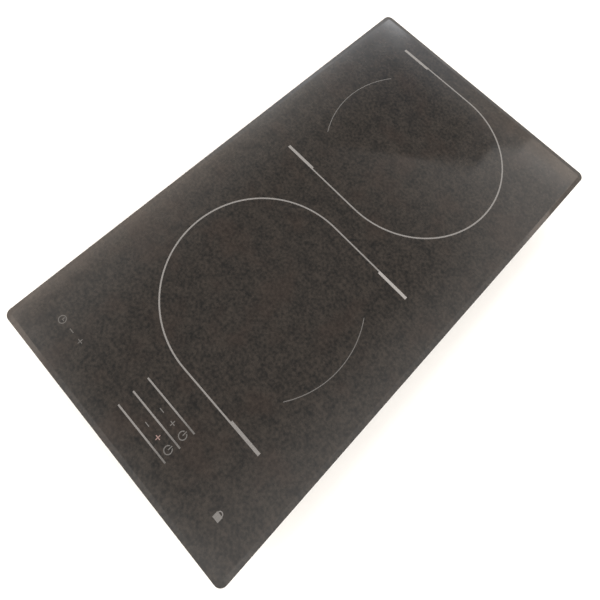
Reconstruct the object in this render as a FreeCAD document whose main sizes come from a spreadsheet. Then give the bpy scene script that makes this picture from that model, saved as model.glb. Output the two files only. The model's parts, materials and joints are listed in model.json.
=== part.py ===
# Built-in induction cooktop with two cooking zones, one behind the other, made piece by piece.
# Millimetres. +X is right, +Y is towards the back and +Z is up. The origin is under the middle
# of the cooktop, on the surface that the pressed feet of its casing stand on.
import FreeCAD, Part
import math
import operator
import os

import Sketcher
from FreeCAD import Placement, Rotation, Vector

SIZES = (
    # glass plate, its print and its seals
    ("glass_width", 288, "glass plate, left to right"),
    ("glass_depth", 520, "glass plate, front to back"),
    ("glass_thick", 4, "glass plate"),
    ("glass_corner", 7, "radius of the glass plate's corners"),
    ("bevel_width", 5, "polished edge, seen from above"),
    ("bevel_drop", 1.2, "polished edge, how far it falls"),
    ("overall_height", 60, "from the feet to the glass plate's top"),
    ("print_thick", 0.1, "enamel printed on the glass"),
    ("line_width", 1.5, "printed lines"),
    ("mark_width", 3, "thick ends of the zones' lines"),
    ("mark_length", 35, "thick ends of the zones' lines"),
    ("faint_width", 0.8, "thin arc that closes each zone"),
    ("faint_angle", 33, "thin arc, degrees to each side of the zone's middle"),
    ("control_depth", 84.5, "glass kept for the controls, up to the front zone"),
    ("zone_gap", 29, "from one printed zone to the other"),
    ("zone_back_gap", 24.5, "from the rear zone to the glass plate's back edge"),
    ("key_spacing", 15.4, "from one line of the controls to the next"),
    ("key_front_gap", 26.6, "first line of the controls, from the glass plate's front edge"),
    ("key_line_length", 61.5, "lines of the controls"),
    ("key_line_offset", 15.75, "middle of the lines, right of the middle of the glass"),
    ("display_offset", 17.7, "displays, left of the lines' middle"),
    ("minus_offset", 2.2, "minus keys, left of the lines' middle"),
    ("plus_offset", 11.8, "plus keys, right of the lines' middle"),
    ("power_offset", 24.8, "on-off keys, right of the lines' middle"),
    ("corner_key_gap", 39.2, "timer's and lock's keys, from the glass plate's side edge"),
    ("timer_minus_step", 13.6, "timer's minus key, right of the timer's own"),
    ("timer_plus_step", 26, "timer's plus key, right of the timer's own"),
    ("sign_length", 5, "plus and minus signs"),
    ("sign_width", 0.8, "strokes of the signs"),
    ("icon_radius", 3.4, "round icons, to the middle of their ring"),
    ("icon_stroke", 0.9, "rings of the icons"),
    ("lock_width", 6.4, "padlock icon"),
    ("lock_height", 10.5, "padlock icon"),
    ("seal_inset", 3, "worktop seal, in from the glass plate's edge"),
    ("seal_width", 8, "worktop seal"),
    ("seal_thick", 2, "worktop seal, pressed"),
    ("bond_thick", 0.6, "silicone between glass and frame"),
    ("bond_inset", 1.5, "silicone, in from the frame's edges"),
    # frame and casing
    ("lap_side", 11.5, "glass over the worktop at each side"),
    ("lap_end", 15, "glass over the worktop at front and back"),
    ("frame_gap", 1.5, "from the cut-out's edge to the frame"),
    ("frame_thick", 1, "sheet of the frame"),
    ("frame_corner", 6, "frame's outer corners"),
    ("flange_width", 10, "frame's flange under the glass"),
    ("skirt_drop", 12, "frame's skirt, below its flange"),
    ("fit_gap", 0.3, "between pieces that slip into each other"),
    ("casing_thick", 1, "sheet of the casing"),
    ("foot_height", 3, "pressed feet"),
    ("foot_radius", 8, "pressed feet"),
    ("foot_inset", 24, "feet, in from the casing's walls"),
    ("vent_width", 3.5, "slots for the air"),
    ("vent_spacing", 7, "from one slot to the next"),
    ("inlet_slot_length", 56, "slots under the fan"),
    ("inlet_slot_count", 8, "slots under the fan"),
    ("outlet_slot_count", 25, "slots in the front wall"),
    ("outlet_slot_height", 16, "slots in the front wall"),
    ("screw_radius", 1.6, "shanks of the sheet-metal screws"),
    ("screw_head_radius", 3, "heads of the screws"),
    ("screw_head_height", 1.8, "heads of the screws"),
    ("screw_length", 7, "shanks of the sheet-metal screws"),
    ("shank_gap", 0.1, "round a screw's shank"),
    ("frame_screw_spacing", 190, "frame screws along each side"),
    ("clip_spacing", 300, "spring clips along each side"),
    ("clip_width", 22, "spring clips"),
    ("clip_thick", 0.8, "spring clips' strip"),
    ("clip_drop", 22, "spring clips, below the screw"),
    ("clip_bulge", 3, "spring clips, out from the frame"),
    # shield plate that carries the coils
    ("post_height", 34, "posts between casing floor and shield plate"),
    ("post_radius", 3.5, "posts, over their corners"),
    ("post_inset", 6.5, "posts, in from the casing's side walls"),
    ("post_end_inset", 17, "outer posts, in from the casing's end walls"),
    ("shield_thick", 1.5, "aluminium shield plate"),
    ("shield_gap", 1.5, "from the casing's walls to the shield plate"),
    # coils
    ("coil_air", 0.3, "from the glass to a coil's insulation at rest"),
    ("coil_travel", 3, "how far a coil can be pressed down"),
    ("insulation_thick", 0.6, "mica sheet over a coil"),
    ("litz_radius", 1.5, "litz wire of the coils"),
    ("litz_gap", 0.3, "between the turns of a coil"),
    ("coil_inner_radius", 22, "first turn of a coil"),
    ("coil_inset", 7.5, "from a printed zone in to its coil's last turn"),
    ("carrier_thick", 2.5, "disc of a coil carrier"),
    ("carrier_rim", 2.5, "rim of a coil carrier"),
    ("ferrite_thick", 5, "ferrite bars"),
    ("ferrite_width", 15, "ferrite bars"),
    ("ferrite_start", 30, "inner ends of the ferrite bars, from the coil's centre"),
    ("ferrite_inset", 6, "outer ends of the ferrite bars, in from the coil's last turn"),
    ("ferrite_count", 6, "ferrite bars under one coil"),
    ("rib_thick", 1.5, "ribs that hold the ferrite bars"),
    ("guide_inset", 18, "springs and guide pins, in from the coil's last turn"),
    ("guide_radius", 2.8, "guide pins of a coil carrier"),
    ("guide_reach", 3, "guide pins, past the shield plate's top"),
    ("guide_gap", 0.4, "round a guide pin"),
    ("spring_radius", 5, "coil springs, to the middle of the wire"),
    ("spring_wire", 0.5, "radius of the coil springs' wire"),
    ("spring_turns", 4, "turns of a coil spring"),
    ("sensor_radius", 4.5, "temperature sensor's head"),
    ("sensor_length", 11, "temperature sensor"),
    ("lead_bend", 6, "bends of the coils' leads"),
    ("lead_gap", 1.5, "round a lead where it passes a plate"),
    # power board
    ("support_height", 6, "board supports, under the board"),
    ("support_radius", 2, "board supports' pins"),
    ("support_inset", 5, "board supports, in from the board's edges"),
    ("board_thick", 1.6, "circuit boards"),
    ("board_side_gap", 20.7, "from the casing's side walls to the power board"),
    ("board_front_gap", 20, "from the casing's front wall to the power board"),
    ("board_fan_gap", 5, "from the fan's outlet to the power board"),
    ("board_box_gap", 6, "from the terminal box to the power board's tongue"),
    ("terminal_size", 12, "coil terminals, each way"),
    ("terminal_height", 10, "coil terminals"),
    ("sink_length", 200, "heatsink"),
    ("sink_width", 60, "heatsink"),
    ("sink_height", 20, "heatsink with its legs"),
    ("sink_base", 3, "heatsink's base plate"),
    ("sink_leg", 3, "heatsink's legs"),
    ("fin_thick", 1.5, "heatsink's fins"),
    ("fin_count", 9, "heatsink's fins"),
    ("chip_thick", 5, "power transistors and rectifier"),
    ("chip_width", 16, "power transistors"),
    ("chip_length", 21, "power transistors"),
    ("chip_spacing", 36, "from one power transistor to the next"),
    ("pin_width", 1.2, "legs of the power transistors"),
    ("pin_thick", 0.8, "legs of the power transistors"),
    ("pin_reach", 4, "legs of the power transistors"),
    ("pin_rise", 2, "legs of the power transistors, above the board"),
    ("bridge_width", 30, "rectifier bridge"),
    ("film_length", 32, "resonant capacitors"),
    ("film_width", 18, "resonant capacitors"),
    ("film_height", 19, "resonant capacitors"),
    ("bus_length", 42, "bus capacitors"),
    ("can_radius", 8, "electrolytic capacitors"),
    ("can_height", 18, "electrolytic capacitors"),
    ("choke_radius", 18, "choke core"),
    ("choke_bore", 9, "choke core's hole"),
    ("choke_height", 12, "choke core"),
    ("choke_turns", 18, "turns of the choke"),
    ("choke_wire", 0.7, "radius of the choke's wire"),
    ("relay_length", 29, "mains relay"),
    ("relay_width", 13, "mains relay"),
    ("relay_height", 17, "mains relay"),
    ("transformer_size", 22, "supply transformer, each way"),
    ("transformer_height", 18, "supply transformer"),
    ("transformer_foot", 3, "supply transformer's foot"),
    ("component_gap", 6, "between components of the power board"),
    # fan
    ("rotor_radius", 36, "fan rotor"),
    ("rotor_gap", 3, "from the rotor to the scroll at its narrowest"),
    ("scroll_growth", 3.5, "scroll's radius, more with each quarter turn"),
    ("fan_wall", 2, "fan housing"),
    ("fan_height", 26, "fan with its cover"),
    ("fan_side_gap", 10, "from the casing's side wall to the fan"),
    ("fan_back_gap", 18, "from the casing's back wall to the fan"),
    ("nozzle_length", 14, "fan's outlet, past the scroll"),
    ("inlet_radius", 30, "fan's inlet"),
    ("hub_radius", 17, "rotor's hub"),
    ("hub_wall", 1.5, "rotor's hub"),
    ("rotor_lift", 2, "from the cover to the rotor"),
    ("blade_depth", 7, "blades, in towards the shaft"),
    ("blade_thick", 0.8, "blades"),
    ("blade_count", 31, "blades"),
    ("shaft_radius", 1.5, "fan shaft"),
    ("shaft_gap", 0.04, "running gap round the fan shaft"),
    ("bearing_radius", 3.5, "fan bearing"),
    ("tube_wall", 1.5, "tube that holds the fan bearing"),
    ("rim_width", 2, "rim at the blades' lower ends"),
    ("stator_gap", 1, "from the stator's poles to the hub"),
    ("stator_inset", 2, "stator, in from the bearing tube's ends"),
    ("stator_ring", 2.5, "stator's ring round the bearing tube"),
    ("pole_width", 6, "stator's poles"),
    ("lug_radius", 5, "fan's fixing lugs"),
    # controls
    ("tray_wall", 2, "control tray"),
    ("tray_side_gap", 12.7, "from the casing's side walls to the control tray"),
    ("tray_depth", 49, "control tray, outside"),
    ("tray_front_gap", 47, "control tray's middle, from the glass plate's front edge"),
    ("tray_post", 5, "control tray's posts"),
    ("tray_post_radius", 2.5, "control tray's posts"),
    ("tray_post_inset", 3, "control tray's posts, in from its front and back walls"),
    ("display_width", 22, "display modules"),
    ("display_depth", 12, "display modules"),
    ("light_width", 2, "status lights"),
    ("light_depth", 1.2, "status lights"),
    ("light_height", 1, "status lights"),
    ("light_step", 4.6, "status lights, in front of their key"),
    ("touch_spring_radius", 3.5, "touch springs, to the middle of the wire"),
    ("touch_wire", 0.3, "radius of the touch springs' wire"),
    ("touch_turns", 4, "turns of a touch spring"),
    ("touch_gap", 0.2, "from the touch springs to the glass"),
    ("ribbon_width", 20, "control ribbon"),
    ("ribbon_thick", 1.2, "control ribbon"),
    ("ribbon_offset", 60, "control ribbon, left of the middle"),
    ("ribbon_gap", 1, "round the control ribbon in the tray's slit"),
    ("plug_width", 24, "control ribbon's plug"),
    ("plug_depth", 4.8, "control ribbon's plug"),
    ("plug_height", 9, "control ribbon's plug"),
    # mains terminals
    ("box_width", 60, "terminal box, outside"),
    ("box_depth", 52, "terminal box, outside"),
    ("box_height", 22, "terminal box"),
    ("box_wall", 1.6, "terminal box"),
    ("box_side_gap", 11, "from the casing's side wall to the terminal box"),
    ("block_gap", 4, "from the lid's hinge to the terminal block"),
    ("block_depth", 17, "terminal block"),
    ("block_height", 12, "terminal block"),
    ("block_width", 46, "terminal block"),
    ("pole_count", 3, "poles of the terminal block"),
    ("pole_radius", 2.2, "wire holes of the terminal block"),
    ("screw_sink", 0.5, "terminal screws, in from the block's face"),
    ("wire_radius", 1.4, "wires from the terminals to the power board"),
    ("wire_bend", 5, "bends of those wires"),
    ("lid_thick", 1.8, "terminal lid"),
    ("lid_gap", 0.5, "round the terminal lid"),
    ("hinge_rise", 2.2, "terminal lid's hinge, above the casing's underside"),
    ("hinge_setback", 3.2, "terminal lid's hinge, from the box's front wall"),
    ("hinge_radius", 1.6, "terminal lid's hinge barrel"),
    ("hinge_pin_radius", 1, "terminal lid's hinge pins"),
    ("hinge_pin_gap", 0.05, "running gap round the hinge pins"),
    ("cable_radius", 5.5, "bore for the mains cable"),
    ("grommet_wall", 2, "cable grommet, between cable and sheet"),
    ("grommet_lip", 2, "cable grommet's lips"),
    ("cable_height", 11.5, "cable's bore, above the casing's underside"),
)

doc = FreeCAD.newDocument("induction_cooktop")
sheet = doc.addObject("Spreadsheet::Sheet", "Sizes")
for row, (name, number, meaning) in enumerate(SIZES, start=1):
    sheet.set(f"A{row}", name)
    sheet.set(f"B{row}", str(number))
    sheet.set(f"C{row}", meaning)
    sheet.setAlias(f"B{row}", name)
doc.recompute()


# ---------------------------------------------------------------- sizes worked out from the sheet
class Length:
    """A size worked out from cells of the sheet: the expression, and the number it comes to."""

    def __init__(self, text, value):
        self.text = text
        self.value = value

    @staticmethod
    def of(size):
        if isinstance(size, Length):
            return size
        return Length(f"{size:.6f}", float(size))

    def joined(self, other, sign, work, swapped=False):
        first, second = self, Length.of(other)
        if swapped:
            first, second = second, first
        return Length(f"({first.text} {sign} {second.text})", work(first.value, second.value))

    def __add__(self, other):
        return self.joined(other, "+", operator.add)

    def __radd__(self, other):
        return self.joined(other, "+", operator.add, swapped=True)

    def __sub__(self, other):
        return self.joined(other, "-", operator.sub)

    def __rsub__(self, other):
        return self.joined(other, "-", operator.sub, swapped=True)

    def __mul__(self, other):
        return self.joined(other, "*", operator.mul)

    def __rmul__(self, other):
        return self.joined(other, "*", operator.mul, swapped=True)

    def __truediv__(self, other):
        return self.joined(other, "/", operator.truediv)

    def __neg__(self):
        return 0 - self


class Sizes:
    """The sheet's cells by name."""


cell = Sizes()
for name, number, meaning in SIZES:
    setattr(cell, name, Length(f"Sizes.{name}", float(sheet.get(name))))


def bind(thing, prop, size):
    thing.setExpression(prop, Length.of(size).text)


def place(thing, spot):
    """Put an object's own origin at a spot; its rotation stays as it is."""
    for axis, size in zip("xyz", spot):
        bind(thing, f".Placement.Base.{axis}", size)
    return thing


def values(*sizes):
    return [Length.of(size).value for size in sizes]


# ---------------------------------------------------------------- blocks, rods and booleans
POINTING = {
    "+Z": Rotation(),
    "-Z": Rotation(Vector(1, 0, 0), 180),
    "+X": Rotation(Vector(0, 1, 0), 90),
    "-X": Rotation(Vector(0, 1, 0), -90),
    "+Y": Rotation(Vector(1, 0, 0), -90),
    "-Y": Rotation(Vector(1, 0, 0), 90),
}


def box(low, size):
    """A block from its lowest corner and its three sizes."""
    block = doc.addObject("Part::Box", "block")
    for prop, length in zip(("Length", "Width", "Height"), size):
        bind(block, prop, length)
    return place(block, low)


def centred_box(x, y, low_z, width, depth, height):
    """A block that stands on low_z round the point x, y."""
    return box((x - width / 2, y - depth / 2, low_z), (width, depth, height))


def rod(start, radius, length, pointing="+Z"):
    cylinder = doc.addObject("Part::Cylinder", "rod")
    bind(cylinder, "Radius", radius)
    bind(cylinder, "Height", length)
    cylinder.Placement = Placement(Vector(), POINTING[pointing])
    return place(cylinder, start)


def join(*parts):
    fuse = doc.addObject("Part::MultiFuse", "join")
    fuse.Shapes = list(parts)
    return fuse


def gather(parts):
    """Separate solids in one object."""
    compound = doc.addObject("Part::Compound", "set")
    compound.Links = list(parts)
    return compound


def cut(body, *tools):
    """The body less the tools."""
    less = doc.addObject("Part::Cut", "cut")
    less.Base = body
    less.Tool = tools[0] if len(tools) == 1 else join(*tools)
    return less


def tube(start, outer, inner, length, pointing="+Z"):
    return cut(rod(start, outer, length, pointing), rod(start, inner, length, pointing))


def around(centre, radius, degrees):
    """The point at a radius and an angle from a centre."""
    angle = math.radians(degrees)
    return centre[0] + radius * math.cos(angle), centre[1] + radius * math.sin(angle)


def radial_box(centre, start, offset, low_z, size, degrees):
    """A block along a radius: from `start` outwards, its side `offset` from the radius."""
    x, y = around(centre, start, degrees)
    x, y = around((x, y), offset, degrees + 90)
    block = box((0, 0, 0), size)
    block.Placement = Placement(Vector(), Rotation(Vector(0, 0, 1), degrees))
    return place(block, (x, y, low_z))


def screw(seat, pointing, length=None):
    """A pan-head screw: its head stands on the seat and its shank points away from it."""
    behind = {"+": "-", "-": "+"}[pointing[0]] + pointing[1]
    head = rod(seat, cell.screw_head_radius, cell.screw_head_height, behind)
    return join(head, rod(seat, cell.screw_radius, length or cell.screw_length, pointing))


# ---------------------------------------------------------------- sketched pieces
class Piece:
    """A PartDesign body, built up one feature at a time."""

    def __init__(self, label):
        self.body = doc.addObject("PartDesign::Body", label)
        self.planes = {plane.Role: plane for plane in self.body.Origin.OriginFeatures}

    def sketch(self, x=0, y=0, z=0, plane="XY_Plane"):
        """An empty sketch; x, y and z are along the sketch's own axes."""
        drawing = self.body.newObject("Sketcher::SketchObject", "outline")
        drawing.AttachmentSupport = [(self.planes[plane], "")]
        drawing.MapMode = "FlatFace"
        for axis, size in zip("xyz", (x, y, z)):
            bind(drawing, f".AttachmentOffset.Base.{axis}", size)
        return drawing

    def volume(self):
        return 0 if self.body.Shape.isNull() else self.body.Shape.Volume

    def feature(self, kind, drawing, length, flipped, grows):
        before = self.volume()
        made = self.body.newObject(kind, "feature")
        made.Profile = drawing
        bind(made, "Length", length)
        made.Reversed = flipped
        doc.recompute()
        change = self.volume() - before
        if change == 0 or (change > 0) != grows:
            raise RuntimeError(f"{self.body.Label}: a feature points the wrong way")
        return made

    def pad(self, drawing, length, flipped=False):
        return self.feature("PartDesign::Pad", drawing, length, flipped, grows=True)

    def pocket(self, drawing, depth, flipped=False):
        return self.feature("PartDesign::Pocket", drawing, depth, flipped, grows=False)

    def repeat(self, feature, drawing, axis, reach, count):
        """The feature again and again along one of its sketch's axes."""
        pattern = self.body.newObject("PartDesign::LinearPattern", "pattern")
        pattern.Originals = [feature]
        pattern.Direction = (drawing, [axis])
        bind(pattern, "Length", reach)
        pattern.Occurrences = round(count.value)
        self.body.Tip = pattern
        doc.recompute()
        return pattern


def fix(drawing, kind, first, size, *more):
    """A constraint that takes its number from the sheet."""
    number = drawing.addConstraint(Sketcher.Constraint(kind, *first, *more, Length.of(size).value))
    drawing.renameConstraint(number, f"size_{number}")
    bind(drawing, f"Constraints.size_{number}", size)


def rounded_rectangle(drawing, width, depth, radius):
    """A rectangle with round corners about the sketch's origin."""
    reach_x, reach_y, bend = values(width / 2 - radius, depth / 2 - radius, radius)
    corners = ((1, -1), (1, 1), (-1, 1), (-1, -1))
    arcs = []
    for quarter, (side_x, side_y) in enumerate(corners):
        circle = Part.Circle(Vector(side_x * reach_x, side_y * reach_y, 0), Vector(0, 0, 1), bend)
        start = (quarter - 1) * math.pi / 2
        arcs.append(drawing.addGeometry(Part.ArcOfCircle(circle, start, start + math.pi / 2)))
    lines = []
    for quarter, arc in enumerate(arcs):
        following = arcs[(quarter + 1) % 4]
        ends = drawing.getPoint(arc, 2), drawing.getPoint(following, 1)
        line = drawing.addGeometry(Part.LineSegment(*ends))
        drawing.addConstraint(Sketcher.Constraint("Tangent", arc, 2, line, 1))
        drawing.addConstraint(Sketcher.Constraint("Tangent", line, 2, following, 1))
        drawing.addConstraint(Sketcher.Constraint("Horizontal" if quarter % 2 else "Vertical", line))
        lines.append(line)
    for arc in arcs[1:]:
        drawing.addConstraint(Sketcher.Constraint("Equal", arcs[0], arc))
    drawing.addConstraint(Sketcher.Constraint("Symmetric", arcs[0], 3, arcs[2], 3, -1, 1))
    fix(drawing, "Radius", (arcs[0],), radius)
    fix(drawing, "DistanceX", (lines[2], 1, lines[0], 1), width)
    fix(drawing, "DistanceY", (lines[3], 1, lines[1], 1), depth)


def rectangle(drawing, width, depth):
    """A rectangle about the sketch's origin."""
    reach_x, reach_y = values(width / 2, depth / 2)
    corners = [Vector(x, y, 0) for x, y in
               ((reach_x, -reach_y), (reach_x, reach_y), (-reach_x, reach_y), (-reach_x, -reach_y))]
    lines = [drawing.addGeometry(Part.LineSegment(corner, corners[(number + 1) % 4]))
             for number, corner in enumerate(corners)]
    for number, line in enumerate(lines):
        following = lines[(number + 1) % 4]
        drawing.addConstraint(Sketcher.Constraint("Coincident", line, 2, following, 1))
        drawing.addConstraint(Sketcher.Constraint("Horizontal" if number % 2 else "Vertical", line))
    drawing.addConstraint(Sketcher.Constraint("Symmetric", lines[0], 1, lines[2], 1, -1, 1))
    fix(drawing, "DistanceX", (lines[2], 1, lines[0], 1), width)
    fix(drawing, "DistanceY", (lines[0], 1, lines[0], 2), depth)


def circle(drawing, radius):
    """A circle about the sketch's origin."""
    ring = drawing.addGeometry(Part.Circle(Vector(), Vector(0, 0, 1), Length.of(radius).value))
    drawing.addConstraint(Sketcher.Constraint("Coincident", ring, 3, -1, 1))
    fix(drawing, "Radius", (ring,), radius)


def slot(drawing, length, width, upright=False):
    """A slot with round ends about the sketch's origin."""
    reach, radius = values((length - width) / 2, width / 2)
    along = Vector(0, 1, 0) if upright else Vector(1, 0, 0)
    turn = math.pi / 2 if upright else 0.0
    arcs = []
    for side in (1, -1):
        ring = Part.Circle(along * reach * side, Vector(0, 0, 1), radius)
        start = turn - math.pi / 2 + (0.0 if side == 1 else math.pi)
        arcs.append(drawing.addGeometry(Part.ArcOfCircle(ring, start, start + math.pi)))
    for arc, following in (arcs, arcs[::-1]):
        line = drawing.addGeometry(
            Part.LineSegment(drawing.getPoint(arc, 2), drawing.getPoint(following, 1)))
        drawing.addConstraint(Sketcher.Constraint("Tangent", arc, 2, line, 1))
        drawing.addConstraint(Sketcher.Constraint("Tangent", line, 2, following, 1))
    drawing.addConstraint(Sketcher.Constraint("Equal", arcs[0], arcs[1]))
    drawing.addConstraint(Sketcher.Constraint("Symmetric", arcs[0], 3, arcs[1], 3, -1, 1))
    drawing.addConstraint(Sketcher.Constraint("Vertical" if upright else "Horizontal", line))
    fix(drawing, "Radius", (arcs[0],), width / 2)
    fix(drawing, "DistanceY" if upright else "DistanceX", (arcs[1], 3, arcs[0], 3), length - width)


nodes = {}


def node(label, thing):
    """Name a finished sub-part."""
    thing.Label = label
    nodes[label] = thing
    return thing


def shape_node(label, shape, spot):
    """A sub-part whose shape comes from Part's own functions, put at its spot."""
    feature = doc.addObject("Part::Feature", label)
    feature.Shape = shape
    feature.Placement = Placement(Vector(*values(*spot)), Rotation())
    return node(label, feature)


# ---------------------------------------------------------------- levels and outlines
glass_under = cell.overall_height - cell.glass_thick
flange_top = glass_under - cell.bond_thick
flange_under = flange_top - cell.frame_thick
skirt_bottom = flange_under - cell.skirt_drop
frame_width = cell.glass_width - 2 * cell.lap_side - 2 * cell.frame_gap
frame_depth = cell.glass_depth - 2 * cell.lap_end - 2 * cell.frame_gap
casing_step = cell.frame_thick + cell.fit_gap
casing_width = frame_width - 2 * casing_step
casing_depth = frame_depth - 2 * casing_step
casing_corner = cell.frame_corner - casing_step
wall_x = casing_width / 2 - cell.casing_thick
wall_y = casing_depth / 2 - cell.casing_thick
floor_under = cell.foot_height
floor_top = floor_under + cell.casing_thick
shield_under = floor_top + cell.post_height
shield_top = shield_under + cell.shield_thick
board_under = floor_top + cell.support_height
board_top = board_under + cell.board_thick
front_edge = 0 - cell.glass_depth / 2
zone_radius = (cell.glass_depth - cell.control_depth - cell.zone_gap - cell.zone_back_gap) / 4
front_zone = (Length.of(0), front_edge + cell.control_depth + zone_radius)
rear_zone = (Length.of(0), front_zone[1] + 2 * zone_radius + cell.zone_gap)


# ---------------------------------------------------------------- glass, print and seals
def make_glass():
    piece = Piece("glass_top")
    drawing = piece.sketch(z=glass_under)
    rounded_rectangle(drawing, cell.glass_width, cell.glass_depth, cell.glass_corner)
    plate = piece.pad(drawing, cell.glass_thick)
    top = cell.overall_height.value
    rim = [f"Edge{number}" for number, edge in enumerate(piece.body.Shape.Edges, start=1)
           if edge.BoundBox.ZMin > top - 0.01]
    bevel = piece.body.newObject("PartDesign::Chamfer", "bevel")
    bevel.Base = (plate, rim)
    bevel.ChamferType = "Two distances"
    bevel.FlipDirection = True
    bind(bevel, "Size", cell.bevel_width)
    bind(bevel, "Size2", cell.bevel_drop)
    doc.recompute()
    flat = max(face.BoundBox.XLength for face in piece.body.Shape.Faces
               if face.BoundBox.ZMin > top - 0.01)
    if abs(flat - (cell.glass_width - 2 * cell.bevel_width).value) > 0.01:
        raise RuntimeError("the glass plate's bevel lies the wrong way round")
    node("glass_top", piece.body)


def printed(low_x, low_y, width, depth):
    """A stroke of enamel on the glass."""
    return box((low_x, low_y, cell.overall_height), (width, depth, cell.print_thick))


def printed_ring(centre, radius, width):
    return tube((centre[0], centre[1], cell.overall_height), radius + width / 2, radius - width / 2,
                cell.print_thick)


def zone_outline(centre, side):
    """Half a circle on one side (-1 left, 1 right) whose ends run straight to thick marks."""
    half = cell.line_width / 2
    reach = zone_radius + cell.line_width
    window = printed(centre[0] - (reach if side < 0 else 0), centre[1] - reach, reach, 2 * reach)
    arc = doc.addObject("Part::Common", "arc")
    arc.Base = printed_ring(centre, zone_radius, cell.line_width)
    arc.Tool = window
    strokes = [arc]
    for end in (1, -1):
        edge = centre[1] + end * zone_radius
        tail_x = centre[0] - (zone_radius if side > 0 else 0)
        strokes.append(printed(tail_x, edge - half, zone_radius, cell.line_width))
        mark_x = centre[0] + (zone_radius - cell.mark_length if side < 0 else -zone_radius)
        mark_y = edge + half - cell.mark_width if end > 0 else edge - half
        strokes.append(printed(mark_x, mark_y, cell.mark_length, cell.mark_width))
    return join(*strokes)


def faint_arc(centre, side):
    """The thin arc that closes a zone between its thick marks."""
    reach = zone_radius + cell.faint_width
    start = zone_radius * math.cos(math.radians(cell.faint_angle.value))
    window = printed(centre[0] + (start if side > 0 else -reach), centre[1] - reach,
                     reach - start, 2 * reach)
    arc = doc.addObject("Part::Common", "arc")
    arc.Base = printed_ring(centre, zone_radius, cell.faint_width)
    arc.Tool = window
    return arc


def make_zone_print():
    node("zone_print", gather([zone_outline(front_zone, -1), faint_arc(front_zone, 1),
                               zone_outline(rear_zone, 1), faint_arc(rear_zone, -1)]))


def minus_mark(spot):
    x, y = spot
    return printed(x - cell.sign_length / 2, y - cell.sign_width / 2, cell.sign_length, cell.sign_width)


def plus_mark(spot):
    x, y = spot
    upright = printed(x - cell.sign_width / 2, y - cell.sign_length / 2, cell.sign_width, cell.sign_length)
    return join(minus_mark(spot), upright)


def timer_mark(spot):
    """A clock: a ring with two hands."""
    x, y = spot
    low = y - cell.sign_width / 2
    hour = printed(x, low, cell.icon_radius * 0.6, cell.sign_width)
    minute = printed(x - cell.sign_width / 2, low, cell.sign_width, cell.icon_radius * 0.8)
    return gather([printed_ring(spot, cell.icon_radius, cell.icon_stroke), join(hour, minute)])


def power_mark(spot):
    """The on-off sign: a ring that a stroke opens at the top."""
    x, y = spot
    ring = printed_ring(spot, cell.icon_radius, cell.icon_stroke)
    gap = printed(x - 1.5 * cell.icon_stroke, y, 3 * cell.icon_stroke, 2 * cell.icon_radius)
    stroke = printed(x - cell.icon_stroke / 2, y, cell.icon_stroke, cell.icon_radius + cell.icon_stroke)
    return gather([cut(ring, gap), stroke])


def lock_mark(spot):
    """A padlock: a body with a hoop over it."""
    x, y = spot
    width, height = cell.lock_width, cell.lock_height
    body = printed(x - width / 2, y - height / 2, width, height / 2)
    ring = printed_ring(spot, width / 3, cell.icon_stroke)
    hoop = cut(ring, printed(x - width, y - height, width * 2, height))
    return join(body, hoop)


def key_spots():
    """Where the touch keys are: two rows for the zones, the timer's and the lock's."""
    low_row = front_edge + cell.key_front_gap + cell.key_spacing / 2
    high_row = low_row + cell.key_spacing
    middle = cell.key_line_offset
    spots = {}
    for name, y in (("low", low_row), ("high", high_row)):
        spots[f"{name}_minus"] = (middle - cell.minus_offset, y)
        spots[f"{name}_plus"] = (middle + cell.plus_offset, y)
        spots[f"{name}_power"] = (middle + cell.power_offset, y)
    corner_x = cell.glass_width / 2 - cell.corner_key_gap
    spots["timer"] = (0 - corner_x, low_row)
    spots["timer_minus"] = (cell.timer_minus_step - corner_x, low_row)
    spots["timer_plus"] = (cell.timer_plus_step - corner_x, low_row)
    spots["lock"] = (corner_x, low_row)
    return spots


KEYS = key_spots()
MARKS = {"minus": minus_mark, "plus": plus_mark, "power": power_mark, "timer": timer_mark,
         "lock": lock_mark}


def make_control_print():
    marks = []
    for line in range(3):
        y = front_edge + cell.key_front_gap + line * cell.key_spacing
        marks.append(printed(cell.key_line_offset - cell.key_line_length / 2, y - cell.line_width / 2,
                             cell.key_line_length, cell.line_width))
    for name, spot in KEYS.items():
        kind = name.split("_")[-1]
        marks.append(MARKS[kind](spot))
    node("control_print", gather(marks))


def ring_piece(label, low_z, height, outer, inner):
    """A flat frame between two rounded rectangles, each (width, depth, corner)."""
    piece = Piece(label)
    drawing = piece.sketch(z=low_z)
    rounded_rectangle(drawing, *outer)
    rounded_rectangle(drawing, *inner)
    piece.pad(drawing, height)
    return piece


def inset(outline, step):
    """A rounded rectangle drawn in by a step on every side."""
    width, depth, corner = outline
    return width - 2 * step, depth - 2 * step, corner - step


def make_seals():
    glass_outline = (cell.glass_width, cell.glass_depth, cell.glass_corner)
    outer = inset(glass_outline, cell.seal_inset)
    inner = (outer[0] - 2 * cell.seal_width, outer[1] - 2 * cell.seal_width, outer[2] / 4)
    seal = ring_piece("worktop_seal", glass_under - cell.seal_thick, cell.seal_thick, outer, inner)
    node("worktop_seal", seal.body)
    frame_outline = (frame_width, frame_depth, cell.frame_corner)
    window = (frame_width - 2 * cell.flange_width, frame_depth - 2 * cell.flange_width,
              cell.frame_corner / 2)
    bond_outer = inset(frame_outline, cell.bond_inset)
    bond_inner = (window[0] + 2 * cell.bond_inset, window[1] + 2 * cell.bond_inset,
                  window[2] + cell.bond_inset)
    bond = ring_piece("glass_bond", flange_top, cell.bond_thick, bond_outer, bond_inner)
    node("glass_bond", bond.body)
    return frame_outline, window


# ---------------------------------------------------------------- frame, casing and their screws
frame_screw_z = flange_under - cell.skirt_drop / 2
side_face = frame_width / 2


def frame_screw_spots():
    for side in (-1, 1):
        for step in (-1, 0, 1):
            yield side, step * cell.frame_screw_spacing


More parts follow.
